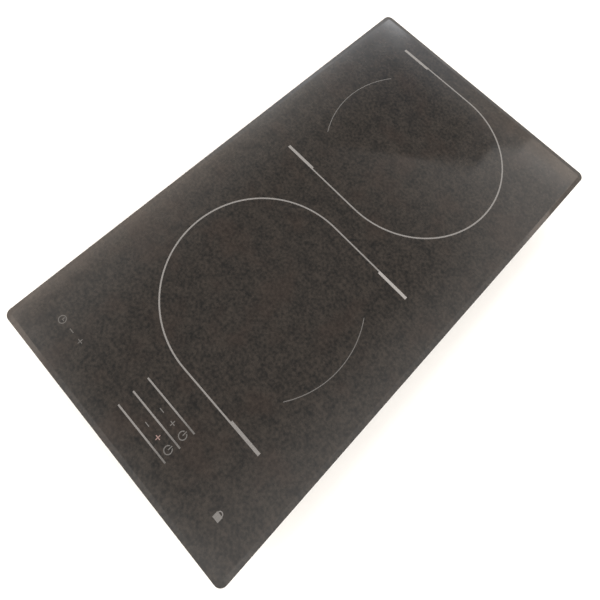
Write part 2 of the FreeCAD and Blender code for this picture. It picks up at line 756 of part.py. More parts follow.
def clip_spots():
    for side in (-1, 1):
        for end in (-1, 1):
            yield side, end * cell.clip_spacing / 2


def side_holes(spots, radius, depth):
    """Rods through one side wall each, from outside the frame inwards."""
    return [rod((side * side_face, y, frame_screw_z), radius, depth, "-X" if side > 0 else "+X")
            for side, y in spots]


def make_frame(outline, window):
    piece = ring_piece("frame_sheet", flange_under, cell.frame_thick, outline, window)
    drawing = piece.sketch(z=flange_under)
    rounded_rectangle(drawing, *outline)
    rounded_rectangle(drawing, *inset(outline, cell.frame_thick))
    piece.pad(drawing, cell.skirt_drop, flipped=True)
    spots = list(frame_screw_spots()) + list(clip_spots())
    holes = side_holes(spots, cell.screw_radius + cell.shank_gap, 3 * cell.frame_thick)
    node("support_frame", cut(piece.body, *holes))
    screws = [screw((side * side_face, y, frame_screw_z), "-X" if side > 0 else "+X")
              for side, y in frame_screw_spots()]
    node("frame_screws", gather(screws))


def make_clips():
    """Bent leaf springs that hold the cooktop in the worktop's cut-out."""
    thick, drop, bulge, width = values(cell.clip_thick, cell.clip_drop, cell.clip_bulge, cell.clip_width)
    hole = (cell.screw_radius + cell.shank_gap).value
    top = (cell.screw_head_radius + cell.frame_thick / 2).value
    outline = ((0, top), (0, -top), (bulge, -drop * 0.6), (thick, -drop))  # x outwards, z upwards
    back = [Vector(x, 0, z) for x, z in outline]
    front = [Vector(x + thick, 0, z) for x, z in reversed(outline)]
    strip = Part.Face(Part.makePolygon(back + front + back[:1])).extrude(Vector(0, width, 0))
    strip.translate(Vector(0, -width / 2, 0))
    strip = strip.cut(Part.makeCylinder(hole, 3 * thick, Vector(-thick, 0, 0), Vector(1, 0, 0)))
    clips = []
    for side, y in clip_spots():
        clip = strip.copy()
        if side < 0:
            clip = clip.mirror(Vector(), Vector(1, 0, 0))
        clip.translate(Vector(side * side_face.value, Length.of(y).value, 0))
        clips.append(clip)
    shape_node("spring_clips", Part.makeCompound(clips), (0, 0, frame_screw_z))
    screws = [screw((side * (side_face + cell.clip_thick), y, frame_screw_z), "-X" if side > 0 else "+X")
              for side, y in clip_spots()]
    node("clip_screws", gather(screws))


scroll_left = cell.rotor_radius + cell.rotor_gap
scroll_top = scroll_left + cell.scroll_growth
scroll_right = scroll_top + 2 * cell.scroll_growth
fan_x = wall_x - cell.fan_side_gap - cell.fan_wall - scroll_right
fan_y = wall_y - cell.fan_back_gap - cell.fan_wall - scroll_top
fan_low = floor_top + cell.rotor_lift
lug_beyond = cell.fan_wall + cell.screw_head_radius + 2 * cell.fit_gap
box_x = 0 - wall_x + cell.box_side_gap + cell.box_width / 2
box_y = wall_y - cell.box_depth / 2
cable_z = floor_under + cell.cable_height


def lug_spots():
    """The fan's three fixing lugs, beside its scroll where that is widest to each side."""
    return [(fan_x - scroll_left - lug_beyond, fan_y),
            (fan_x + cell.scroll_growth, fan_y + scroll_top + lug_beyond),
            (fan_x + scroll_right + lug_beyond, fan_y - cell.scroll_growth)]


def make_casing():
    piece = Piece("casing_sheet")
    outline = (casing_width, casing_depth, casing_corner)
    drawing = piece.sketch(z=floor_under)
    rounded_rectangle(drawing, *outline)
    piece.pad(drawing, cell.casing_thick)
    drawing = piece.sketch(z=floor_top)
    rounded_rectangle(drawing, *outline)
    rounded_rectangle(drawing, *inset(outline, cell.casing_thick))
    piece.pad(drawing, flange_under - floor_top)
    for side_x in (-1, 1):
        for side_y in (-1, 1):
            spot_x = side_x * (wall_x - cell.foot_inset)
            spot_y = cell.foot_inset - wall_y
            if side_y > 0:
                spot_y = wall_y - cell.box_depth - 2 * cell.foot_inset
            drawing = piece.sketch(x=spot_x, y=spot_y, z=floor_under)
            circle(drawing, cell.foot_radius)
            piece.pad(drawing, cell.foot_height, flipped=True)
            drawing = piece.sketch(x=spot_x, y=spot_y, z=floor_top)
            circle(drawing, cell.foot_radius - 2 * cell.casing_thick)
            piece.pocket(drawing, cell.foot_height)
    reach = cell.vent_spacing * (cell.inlet_slot_count - 1)
    drawing = piece.sketch(x=fan_x, y=fan_y - reach / 2, z=floor_top)
    slot(drawing, cell.inlet_slot_length, cell.vent_width)
    feature = piece.pocket(drawing, cell.casing_thick)
    piece.repeat(feature, drawing, "V_Axis", reach, cell.inlet_slot_count)
    reach = cell.vent_spacing * (cell.outlet_slot_count - 1)
    drawing = piece.sketch(x=0 - reach / 2, y=board_top + cell.outlet_slot_height / 2, z=wall_y,
                           plane="XZ_Plane")
    slot(drawing, cell.outlet_slot_height, cell.vent_width, upright=True)
    feature = piece.pocket(drawing, cell.casing_thick, flipped=True)
    piece.repeat(feature, drawing, "H_Axis", reach, cell.outlet_slot_count)
    drawing = piece.sketch(x=box_x, y=box_y, z=floor_top)
    rectangle(drawing, cell.box_width - 2 * cell.box_wall, cell.box_depth - 2 * cell.box_wall)
    piece.pocket(drawing, cell.casing_thick)
    drawing = piece.sketch(x=box_x, y=cable_z, z=0 - wall_y, plane="XZ_Plane")
    circle(drawing, cell.cable_radius + cell.grommet_wall)
    piece.pocket(drawing, cell.casing_thick)
    hole = cell.screw_radius + cell.shank_gap
    spots = list(frame_screw_spots()) + list(clip_spots())
    holes = side_holes(spots, hole, 5 * cell.frame_thick)
    holes += [rod((x, y, floor_under), hole, cell.casing_thick) for x, y in lug_spots()]
    node("bottom_casing", cut(piece.body, *holes))


# ---------------------------------------------------------------- shield plate on its posts
def post_spots():
    for side in (-1, 1):
        for end in (-1, 0, 1):
            yield side * (wall_x - cell.post_inset), end * (wall_y - cell.post_end_inset)


coil_spacing = 2 * cell.litz_radius + cell.litz_gap
coil_room = zone_radius - cell.coil_inset - cell.coil_inner_radius
coil_turns = math.floor((coil_room / coil_spacing).value + 0.01)
coil_radius = cell.coil_inner_radius + coil_turns * coil_spacing
guide_circle = coil_radius - cell.guide_inset


def zone_leads(zone):
    """Where a coil's leads come down: from its first turn and from its last."""
    x, y = zone
    return ((x - cell.coil_inner_radius, y + cell.lead_bend), (x - coil_radius, y - cell.lead_bend))


GUIDE_ANGLES = (90, 210, 330)
tray_y = front_edge + cell.tray_front_gap
tray_width = 2 * (wall_x - cell.tray_side_gap)
ribbon_spot = (0 - cell.ribbon_offset, 0 - wall_y + cell.board_front_gap + cell.component_gap)


def make_shield():
    posts = []
    for x, y in post_spots():
        post = doc.addObject("Part::Prism", "post")
        post.Polygon = 6
        bind(post, "Circumradius", cell.post_radius)
        bind(post, "Height", cell.post_height)
        place(post, (x, y, floor_top))
        bore = rod((x, y, shield_under), cell.screw_radius + cell.shank_gap, cell.screw_length, "-Z")
        posts.append(cut(post, bore))
    node("shield_posts", gather(posts))
    node("shield_screws", gather([screw((x, y, shield_top), "-Z") for x, y in post_spots()]))
    piece = Piece("shield_sheet")
    drawing = piece.sketch(z=shield_under)
    rectangle(drawing, 2 * (wall_x - cell.shield_gap), 2 * (wall_y - cell.shield_gap))
    piece.pad(drawing, cell.shield_thick)
    holes = [rod((x, y, shield_under), cell.screw_radius + cell.shank_gap, cell.shield_thick)
             for x, y in post_spots()]
    for zone in (front_zone, rear_zone):
        for degrees in GUIDE_ANGLES:
            x, y = around(zone, guide_circle, degrees)
            holes.append(rod((x, y, shield_under), cell.guide_radius + cell.guide_gap, cell.shield_thick))
        for x, y in zone_leads(zone):
            holes.append(rod((x, y, shield_under), cell.litz_radius + cell.lead_gap, cell.shield_thick))
    holes.append(centred_box(*ribbon_spot, shield_under, cell.ribbon_width + 2 * cell.lead_gap,
                             cell.ribbon_thick + 2 * cell.lead_gap, cell.shield_thick))
    node("coil_shield", cut(piece.body, *holes))


# ---------------------------------------------------------------- the two coils
insulation_low = glass_under - cell.coil_air - cell.insulation_thick
winding_z = insulation_low - cell.litz_radius
carrier_top = winding_z - cell.litz_radius
carrier_low = carrier_top - cell.carrier_thick
ferrite_length = coil_radius - cell.ferrite_inset - cell.ferrite_start
sensor_top = glass_under - cell.coil_air
sensor_low = sensor_top - cell.sensor_length
sensor_stem = cell.sensor_radius - 1


def tube_along(path, radius):
    """A round wire along a path of tangent lines and arcs, in code."""
    wire = Part.Wire(path)
    edge = wire.OrderedEdges[0]
    start = edge.valueAt(edge.FirstParameter)
    ahead = edge.tangentAt(edge.FirstParameter)
    if (wire.OrderedVertexes[0].Point - start).Length > 1e-6:
        start = edge.valueAt(edge.LastParameter)
        ahead = -edge.tangentAt(edge.LastParameter)
    section = Part.Wire([Part.makeCircle(radius, start, ahead)])
    return wire.makePipeShell([section], True, False)


def bent_wire(points, bend, radius):
    """A round wire along straight runs with an arc of one radius at each corner."""
    path = []
    start = points[0]
    for before, corner, after in zip(points, points[1:], points[2:]):
        inward = (before - corner).normalize()
        outward = (after - corner).normalize()
        half_angle = inward.getAngle(outward) / 2
        setback = bend / math.tan(half_angle)
        middle = (inward + outward).normalize() * (bend / math.sin(half_angle) - bend)
        entry = corner + inward * setback
        leave = corner + outward * setback
        path.append(Part.makeLine(start, entry))
        path.append(Part.Arc(entry, corner + middle, leave).toShape())
        start = leave
    path.append(Part.makeLine(start, points[-1]))
    return tube_along(path, radius)


def spring_shape(radius, wire, height, turns):
    """A coil spring that stands on z = 0: half circles that climb to each side by turns."""
    rise = (height - 2 * wire) / (2 * turns)
    reach = math.hypot(radius, rise / 2)
    path = []
    for half in range(2 * turns):
        side = -1 if half % 2 else 1
        start = Vector(side * radius, 0, wire + half * rise)
        finish = Vector(-side * radius, 0, start.z + rise)
        middle = (start + finish) * 0.5 + Vector(0, side * reach, 0)
        path.append(Part.Arc(start, middle, finish).toShape())
    return tube_along(path, wire)


def winding_shape():
    """A flat spiral of half circles whose centres change sides at each half turn."""
    spacing, start, radius = values(coil_spacing, cell.coil_inner_radius, cell.litz_radius)
    path = []
    left = -start
    for turn in range(coil_turns):
        right = start + (turn + 0.5) * spacing
        next_left = -start - (turn + 1) * spacing
        for first, last, below in ((left, right, -1), (right, next_left, 1)):
            middle = Vector((first + last) / 2, below * abs(last - first) / 2, 0)
            path.append(Part.Arc(Vector(first, 0, 0), middle, Vector(last, 0, 0)).toShape())
        left = next_left
    return tube_along(path, radius)


def make_carrier(name, zone):
    """A moulded disc with a rim, ribs for the ferrite bars and three guide pins."""
    x, y = zone
    rim = coil_radius + cell.litz_radius + cell.carrier_rim
    rim_height = 2 * cell.litz_radius
    parts = [rod((x, y, carrier_low), rim, cell.carrier_thick),
             tube((x, y, carrier_low), rim, rim - cell.carrier_rim / 2, cell.carrier_thick + rim_height)]
    count = round(cell.ferrite_count.value)
    rib_size = (ferrite_length, cell.rib_thick, cell.ferrite_thick)
    for number in range(count):
        degrees = number * 360 / count
        for offset in (cell.ferrite_width / 2 + cell.fit_gap / 2,
                       0 - cell.ferrite_width / 2 - cell.fit_gap / 2 - cell.rib_thick):
            parts.append(radial_box(zone, cell.ferrite_start, offset, carrier_low - cell.ferrite_thick,
                                    rib_size, degrees))
    pin_length = carrier_low - shield_top + cell.guide_reach
    for degrees in GUIDE_ANGLES:
        pin_x, pin_y = around(zone, guide_circle, degrees)
        parts.append(rod((pin_x, pin_y, carrier_low), cell.guide_radius, pin_length, "-Z"))
    collar = rod((x, y, carrier_low), cell.sensor_radius + cell.rib_thick, cell.ferrite_thick, "-Z")
    notch = cell.litz_radius + cell.lead_gap
    (inner_x, inner_y), (outer_x, outer_y) = zone_leads(zone)
    holes = [rod((x, y, carrier_low - cell.ferrite_thick), sensor_stem,
                 cell.ferrite_thick + cell.carrier_thick),
             box((inner_x - notch, inner_y - cell.lead_bend, carrier_low),
                 (2 * notch, cell.lead_bend + notch, cell.carrier_thick)),
             box((outer_x - 3 * notch, outer_y - notch, carrier_low),
                 (4 * notch, cell.lead_bend + notch, cell.carrier_thick + rim_height))]
    node(f"{name}_coil_carrier", cut(join(*parts, collar), *holes))


def make_coil(name, zone):
    x, y = zone
    make_carrier(name, zone)
    shape_node(f"{name}_coil_winding", winding_shape(), (x, y, winding_z))
    count = round(cell.ferrite_count.value)
    bars = [radial_box(zone, cell.ferrite_start, 0 - cell.ferrite_width / 2,
                       carrier_low - cell.ferrite_thick,
                       (ferrite_length, cell.ferrite_width, cell.ferrite_thick), number * 360 / count)
            for number in range(count)]
    node(f"{name}_coil_ferrites", gather(bars))
    node(f"{name}_coil_insulation",
         tube((x, y, insulation_low), coil_radius + cell.litz_radius, cell.sensor_radius + cell.rib_thick,
              cell.insulation_thick))
    head = rod((x, y, carrier_top), cell.sensor_radius, sensor_top - carrier_top)
    stem = rod((x, y, sensor_low), sensor_stem - cell.shank_gap, carrier_top - sensor_low)
    node(f"{name}_temp_sensor", join(head, stem))
    height = (carrier_low - shield_top).value
    spring = spring_shape(*values(cell.spring_radius, cell.spring_wire), height,
                          round(cell.spring_turns.value))
    springs = []
    for degrees in GUIDE_ANGLES:
        spot = around((0, 0), guide_circle.value, degrees)
        copy = spring.copy()
        copy.translate(Vector(*spot, 0))
        springs.append(copy)
    shape_node(f"{name}_coil_springs", Part.makeCompound(springs), (x, y, shield_top))
    terminal_top = board_top + cell.terminal_height
    drop, bend, radius, start, reach = values(winding_z - terminal_top, cell.lead_bend, cell.litz_radius,
                                              cell.coil_inner_radius, coil_radius)
    leads = []
    for lead_x, way in ((-start, 1), (-reach, -1)):
        corner = Vector(lead_x, way * bend, drop)
        path = [Part.Arc(Vector(lead_x, 0, drop),
                         Vector(lead_x, way * bend * math.sin(math.pi / 4),
                                drop - bend * (1 - math.cos(math.pi / 4))),
                         Vector(lead_x, corner.y, drop - bend)).toShape(),
                Part.makeLine(Vector(lead_x, corner.y, drop - bend), Vector(lead_x, corner.y, 0))]
        leads.append(tube_along(path, radius))
    shape_node(f"{name}_coil_leads", Part.makeCompound(leads), (x, y, terminal_top))


# ---------------------------------------------------------------- power board
board_half = wall_x - cell.board_side_gap
board_front = 0 - wall_y + cell.board_front_gap
nozzle_end = fan_y - scroll_left - cell.nozzle_length
board_back = nozzle_end - cell.board_fan_gap
tongue_back = box_y - cell.box_depth / 2 - cell.board_box_gap
tongue_right = fan_x - scroll_left - lug_beyond - cell.lug_radius - cell.board_fan_gap
column_a = 0 - board_half + cell.bus_length / 2 + cell.component_gap / 2
column_b = column_a + cell.bus_length / 2 + cell.film_length / 2 + cell.component_gap
sink_left = board_half - 2 * cell.support_inset - cell.sink_width
sink_back = board_back - cell.component_gap
sink_front = sink_back - cell.sink_length
sink_low = board_top + cell.chip_thick


def make_power_board():
    main = box((0 - board_half, board_front, board_under),
               (2 * board_half, board_back - board_front, cell.board_thick))
    tongue = box((0 - board_half, board_back, board_under),
                 (board_half + tongue_right, tongue_back - board_back, cell.board_thick))
    edge = cell.support_inset
    stem = cell.support_radius
    spots = [(side * (board_half - edge), y) for side in (-1, 1)
             for y in (board_front + edge, (board_front + board_back) / 2)]
    spots += [(board_half - edge, board_back - edge), (tongue_right - edge, tongue_back - edge),
              (edge - board_half, tongue_back - 3 * cell.component_gap)]
    holes = [rod((x, y, board_under), stem + cell.shank_gap, cell.board_thick) for x, y in spots]
    node("power_board", cut(join(main, tongue), *holes))
    supports = []
    for x, y in spots:
        foot = rod((x, y, floor_top), 2 * stem, cell.support_height)
        pin = rod((x, y, board_under), stem, cell.board_thick)
        barb = rod((x, y, board_top), 1.5 * stem, stem)
        supports.append(join(foot, pin, barb))
    node("board_supports", gather(supports))


def make_heatsink():
    base = box((sink_left, sink_front, sink_low), (cell.sink_width, cell.sink_length, cell.sink_base))
    parts = [base]
    for x in (sink_left, sink_left + cell.sink_width - cell.sink_leg):
        parts.append(box((x, sink_front, board_top), (cell.sink_leg, cell.sink_length, cell.chip_thick)))
    count = round(cell.fin_count.value)
    step = (cell.sink_width - cell.fin_thick) / (count - 1)
    fin_low = sink_low + cell.sink_base
    fin_height = board_top + cell.sink_height - fin_low
    for number in range(count):
        parts.append(box((sink_left + number * step, sink_front, fin_low),
                         (cell.fin_thick, cell.sink_length, fin_height)))
    node("heatsink", join(*parts))


def chip(x, y, width, length, pins):
    """A flat power component under the heatsink, its pins bent down into the board."""
    parts = [box((x, y - width / 2, board_top), (length, width, cell.chip_thick))]
    spacing = width / (pins + 0.5)
    for number in range(pins):
        pin_x = x - cell.pin_reach
        pin_y = y + (number - (pins - 1) / 2) * spacing - cell.pin_width / 2
        parts.append(box((pin_x, pin_y, board_top + cell.pin_rise),
                         (cell.pin_reach, cell.pin_width, cell.pin_thick)))
        parts.append(box((pin_x, pin_y, board_top),
                         (cell.pin_thick, cell.pin_width, cell.pin_rise + cell.pin_thick)))
    return join(*parts)


def make_power_parts():
    chip_x = sink_left + cell.sink_leg + 2 * cell.component_gap
    first = sink_back - cell.component_gap - cell.bridge_width / 2
    chips = [chip(chip_x, first - cell.bridge_width / 2 - number * cell.chip_spacing, cell.chip_width,
                  cell.chip_length, 3) for number in (1, 2, 3, 4)]
    node("power_transistors", gather(chips))
    node("rectifier_bridge", chip(chip_x, first, cell.bridge_width, cell.chip_length, 4))
    films = []
    film_spacing = cell.film_width + cell.component_gap / 2
    for zone in (front_zone, rear_zone):
        for number in (1, 2):
            y = zone[1] - cell.terminal_size / 2 - number * film_spacing
            films.append(centred_box(column_b, y, board_top, cell.film_length, cell.film_width,
                                     cell.film_height))
    node("resonant_capacitors", gather(films))
    blocks = []
    for zone in (front_zone, rear_zone):
        for x, y in zone_leads(zone):
            blocks.append(centred_box(x, y, board_top, cell.terminal_size, cell.terminal_size,
                                      cell.terminal_height))
    node("coil_terminals", gather(blocks))
    choke_y = rear_zone[1] - 3 * cell.component_gap - cell.choke_radius
    make_choke(column_a, choke_y)
    bus = []
    for number in (1, 2):
        y = choke_y - cell.choke_radius - number * film_spacing
        bus.append(centred_box(column_a, y, board_top, cell.bus_length, cell.film_width, cell.film_height))
    node("bus_capacitors", gather(bus))
    cans_y = front_zone[1] - 5 * cell.component_gap - cell.can_radius
    cans = [rod((column_a + step * (2 * cell.can_radius + cell.component_gap / 2), cans_y, board_top),
                cell.can_radius, cell.can_height) for step in (-0.5, 0.5)]
    node("electrolytic_capacitors", gather(cans))
    make_transformer(column_a, cans_y - 2 * cell.can_radius - cell.component_gap)
    relay_y = tongue_back - cell.relay_width / 2 - cell.component_gap / 2
    node("mains_relay", centred_box(column_b, relay_y, board_top, cell.relay_length, cell.relay_width,
                                    cell.relay_height))


def make_choke(x, y):
    low = board_top + 2 * cell.choke_wire + cell.shank_gap
    node("choke_core", tube((x, y, low), cell.choke_radius, cell.choke_bore, cell.choke_height))
    outer, bore, height, wire = values(cell.choke_radius, cell.choke_bore, cell.choke_height,
                                       cell.choke_wire)
    air = wire + cell.shank_gap.value
    reach = (outer + bore) / 2
    half = (outer - bore) / 2 + air
    corners = [Vector(reach + side_x * half, 0, height / 2 + side_z * (height / 2 + air))
               for side_x, side_z in ((-1, -1), (1, -1), (1, 1), (-1, 1))]
    start = (corners[0] + corners[1]) * 0.5
    finish = start - Vector(wire / 3, 0, 0)
    loop = bent_wire([start, *corners[1:], corners[0], finish], air, wire)
    turns = round(cell.choke_turns.value)
    loops = []
    for number in range(turns):
        copy = loop.copy()
        copy.rotate(Vector(), Vector(0, 0, 1), (number + 0.5) * 360 / turns)
        loops.append(copy)
    shape_node("choke_winding", Part.makeCompound(loops), (x, y, low))


def make_transformer(x, y):
    """An E core round a bobbin."""
    size, foot = cell.transformer_size, cell.transformer_foot
    core_low = board_top + foot
    core = centred_box(x, y, core_low, size, size / 3, cell.transformer_height - foot)
    plinth = centred_box(x, y, board_top, size - foot, size, foot)
    bobbin = centred_box(x, y, core_low, size / 2, size - foot, cell.transformer_height - 2 * foot)
    node("supply_transformer", join(core, plinth, bobbin))


# ---------------------------------------------------------------- fan
def scroll_outline(step):
    """The scroll's outline, made larger by a step, down to its nozzle's end: local to the fan."""
    narrow, growth, end = values(cell.rotor_radius + cell.rotor_gap, cell.scroll_growth,
                                 nozzle_end - fan_y)
    radius = narrow + step
    left = Vector(-radius, 0, 0)
    top = Vector(growth, radius + growth, 0)
    right = Vector(growth + radius + 2 * growth, -growth, 0)
    tongue = Vector(-step, -math.sqrt(radius ** 2 - step ** 2), 0)
    diagonal = math.sqrt(0.5)
    centres = (Vector(0, 0, 0), Vector(growth, 0, 0), Vector(growth, -growth, 0))
    angle = (math.atan2(tongue.y, tongue.x) + 2 * math.pi + math.pi) / 2
    return Part.Wire([
        Part.makeLine(Vector(-step, end, 0), tongue),
        Part.Arc(tongue, Vector(math.cos(angle), math.sin(angle), 0) * radius, left).toShape(),
        Part.Arc(left, centres[1] + Vector(-diagonal, diagonal, 0) * (radius + growth), top).toShape(),
        Part.Arc(top, centres[2] + Vector(diagonal, diagonal, 0) * (radius + 2 * growth), right).toShape(),
        Part.makeLine(right, Vector(right.x, end, 0)),
        Part.makeLine(Vector(right.x, end, 0), Vector(-step, end, 0)),
    ])


bearing_reach = (cell.fan_height - 2 * cell.fan_wall) * 0.7


def make_fan():
    wall, height, inlet, lift, tube_outer = values(cell.fan_wall, cell.fan_height, cell.inlet_radius,
                                                   cell.rotor_lift, cell.bearing_radius + cell.tube_wall)
    outer = Part.Face(scroll_outline(wall))
    inner = Part.Face(scroll_outline(0))
    channel = inner.extrude(Vector(0, 0, height - 2 * wall))
    walls = outer.extrude(Vector(0, 0, height - 2 * wall)).cut(channel)
    lid = outer.extrude(Vector(0, 0, wall))
    lid.translate(Vector(0, 0, height - 2 * wall))
    tube_foot = Vector(0, 0, height - 2 * wall - bearing_reach.value)
    bearing_tube = Part.makeCylinder(tube_outer, bearing_reach.value, tube_foot)
    bore = Part.makeCylinder(cell.bearing_radius.value, bearing_reach.value, tube_foot)
    housing = walls.fuse([lid, bearing_tube]).cut(bore)
    shape_node("fan_housing", housing.removeSplitter(), (fan_x, fan_y, fan_low + cell.fan_wall))
    cover = outer.extrude(Vector(0, 0, wall))
    ring = Part.makeCylinder(inlet + wall, lift, Vector(0, 0, -lift))
    spots = [Vector(*values(x - fan_x, y - fan_y), -lift) for x, y in lug_spots()]
    lugs = [Part.makeCylinder(cell.lug_radius.value, wall + lift, spot) for spot in spots]
    cover = cover.fuse([ring] + lugs).cut(Part.makeCylinder(inlet, wall + lift, Vector(0, 0, -lift)))
    hole = (cell.screw_radius + cell.shank_gap).value
    cover = cover.cut([Part.makeCylinder(hole, wall + lift, spot) for spot in spots])
    shape_node("fan_cover", cover, (fan_x, fan_y, fan_low))
    node("fan_screws", gather([screw((x, y, fan_low + cell.fan_wall), "-Z", cell.rotor_lift * 2)
                               for x, y in lug_spots()]))
    make_rotor()
    make_motor()


rotor_low = fan_low + cell.fan_wall + cell.rotor_lift
rotor_height = cell.fan_height - 2 * cell.fan_wall - 2 * cell.rotor_lift
stator_radius = cell.hub_radius - cell.hub_wall - cell.stator_gap


def make_rotor():
    """A cup-shaped hub over the motor, with a disc that carries curved blades down to a rim."""
    radius, hub, wall, depth, thick, height, shaft = values(
        cell.rotor_radius, cell.hub_radius, cell.hub_wall, cell.blade_depth, cell.blade_thick,
        rotor_height, cell.shaft_radius)
    room = Part.makeCylinder(hub - wall, height - wall, Vector(0, 0, wall))
    cup = Part.makeCylinder(hub, height).cut(room)
    disc = Part.makeCylinder(radius, wall, Vector(0, 0, height - wall)).cut(room)
    rim = Part.makeCylinder(radius, wall).cut(Part.makeCylinder(radius - cell.rim_width.value, wall))
    start = Vector(radius - depth, 0, 0)
    finish = Vector(radius - thick, depth / 2, 0)
    middle = (start + finish) * 0.5 + Vector(0.2 * depth, -0.3 * depth, 0)
    inner = [start, middle, finish]
    outer = [point + Vector(0.6 * thick, -0.8 * thick, 0) for point in inner]
    outline = Part.Wire([Part.Arc(*inner).toShape(), Part.makeLine(finish, outer[2]),
                         Part.Arc(*reversed(outer)).toShape(), Part.makeLine(outer[0], start)])
    blade = Part.Face(outline).extrude(Vector(0, 0, height))
    count = round(cell.blade_count.value)
    blades = []
    for number in range(count):
        copy = blade.copy()
        copy.rotate(Vector(), Vector(0, 0, 1), number * 360 / count)
        blades.append(copy)
    rotor = cup.fuse([disc, rim] + blades).cut(Part.makeCylinder(shaft, wall))
    shape_node("fan_rotor", rotor.removeSplitter(), (fan_x, fan_y, rotor_low))


def make_motor():
    """The rotor's shaft, the bearing that it runs in and the stator round the bearing's tube."""
    under_lid = fan_low + cell.fan_height - cell.fan_wall
    shaft_top = under_lid - cell.rotor_lift / 2
    node("fan_shaft", rod((fan_x, fan_y, rotor_low), cell.shaft_radius, shaft_top - rotor_low))
    bearing_low = under_lid - bearing_reach
    node("fan_bearing", tube((fan_x, fan_y, bearing_low), cell.bearing_radius,
                             cell.shaft_radius + cell.shaft_gap, bearing_reach - cell.rotor_lift / 2))
    core = cell.bearing_radius + cell.tube_wall
    stator_low = bearing_low + cell.stator_inset
    stator_height = bearing_reach - 2 * cell.stator_inset
    parts = [tube((fan_x, fan_y, stator_low), core + cell.stator_ring, core, stator_height)]
    pole_start = core + cell.stator_ring / 2
    pole_size = (stator_radius - pole_start, cell.pole_width, stator_height)
    for degrees in (45, 135, 225, 315):
        parts.append(radial_box((fan_x, fan_y), pole_start, 0 - cell.pole_width / 2, stator_low,
                                pole_size, degrees))
    node("fan_stator", join(*parts))


# ---------------------------------------------------------------- controls under the front of the glass
tray_floor = shield_top + cell.tray_wall
control_board_low = tray_floor + cell.tray_post
control_board_top = control_board_low + cell.board_thick


def make_controls():
    piece = Piece("tray_moulding")
    drawing = piece.sketch(y=tray_y, z=shield_top)
    rectangle(drawing, tray_width, cell.tray_depth)
    piece.pad(drawing, control_board_top - shield_top)
    drawing = piece.sketch(y=tray_y, z=control_board_top)
    rectangle(drawing, tray_width - 2 * cell.tray_wall, cell.tray_depth - 2 * cell.tray_wall)
    piece.pocket(drawing, control_board_top - tray_floor)
    reach_x = tray_width / 2 - cell.tray_wall - 2 * cell.tray_post_radius
    reach_y = cell.tray_depth / 2 - cell.tray_wall - cell.tray_post_inset
    posts = [rod((share * reach_x, tray_y + side * reach_y, tray_floor), cell.tray_post_radius,
                 cell.tray_post)
             for share in (-1, -0.5, 0.1, 0.5, 1) for side in (-1, 1)]
    slit = centred_box(*ribbon_spot, shield_top, cell.ribbon_width + 2 * cell.ribbon_gap,
                       cell.ribbon_thick + 2 * cell.ribbon_gap, cell.tray_wall)
    node("control_tray", cut(join(piece.body, *posts), slit))
    gap = 2 * (cell.tray_wall + cell.fit_gap)
    node("control_board", centred_box(Length.of(0), tray_y, control_board_low, tray_width - gap,
                                      cell.tray_depth - gap, cell.board_thick))
    room = glass_under - control_board_top
    modules = [centred_box(cell.key_line_offset - cell.display_offset, KEYS[key][1], control_board_top,
                           cell.display_width, cell.display_depth, room - cell.fit_gap)
               for key in ("low_minus", "high_minus")]
    node("display_modules", gather(modules))
    lights = []
    for key in ("low_power", "high_power", "timer", "lock"):
        x, y = KEYS[key]
        lights.append(centred_box(x, y - cell.light_step, control_board_top, cell.light_width,
                                  cell.light_depth, cell.light_height))
    node("status_lights", gather(lights))
    spring = spring_shape(*values(cell.touch_spring_radius, cell.touch_wire, room - cell.touch_gap),
                          round(cell.touch_turns.value))
    springs = []
    for x, y in KEYS.values():
        copy = spring.copy()
        copy.translate(Vector(*values(x, y), 0))
        springs.append(copy)
    shape_node("touch_springs", Part.makeCompound(springs), (0, 0, control_board_top))
    flat = centred_box(*ribbon_spot, board_top + cell.plug_height, cell.ribbon_width, cell.ribbon_thick,
                       control_board_low - board_top - cell.plug_height)
    plug = centred_box(*ribbon_spot, board_top, cell.plug_width, cell.plug_depth, cell.plug_height)
    node("control_ribbon", join(flat, plug))


# ---------------------------------------------------------------- mains terminals
hinge_y = box_y - cell.box_depth / 2 + cell.box_wall + cell.hinge_setback
hinge_z = floor_under + cell.hinge_rise
box_top = floor_top + cell.box_height
block_front = hinge_y + cell.hinge_radius + cell.block_gap
block_low = box_top - cell.box_wall - cell.block_height


def pole_spots():
    count = round(cell.pole_count.value)
    step = cell.block_width / count
    for number in range(count):
        yield box_x + (number - (count - 1) / 2) * step


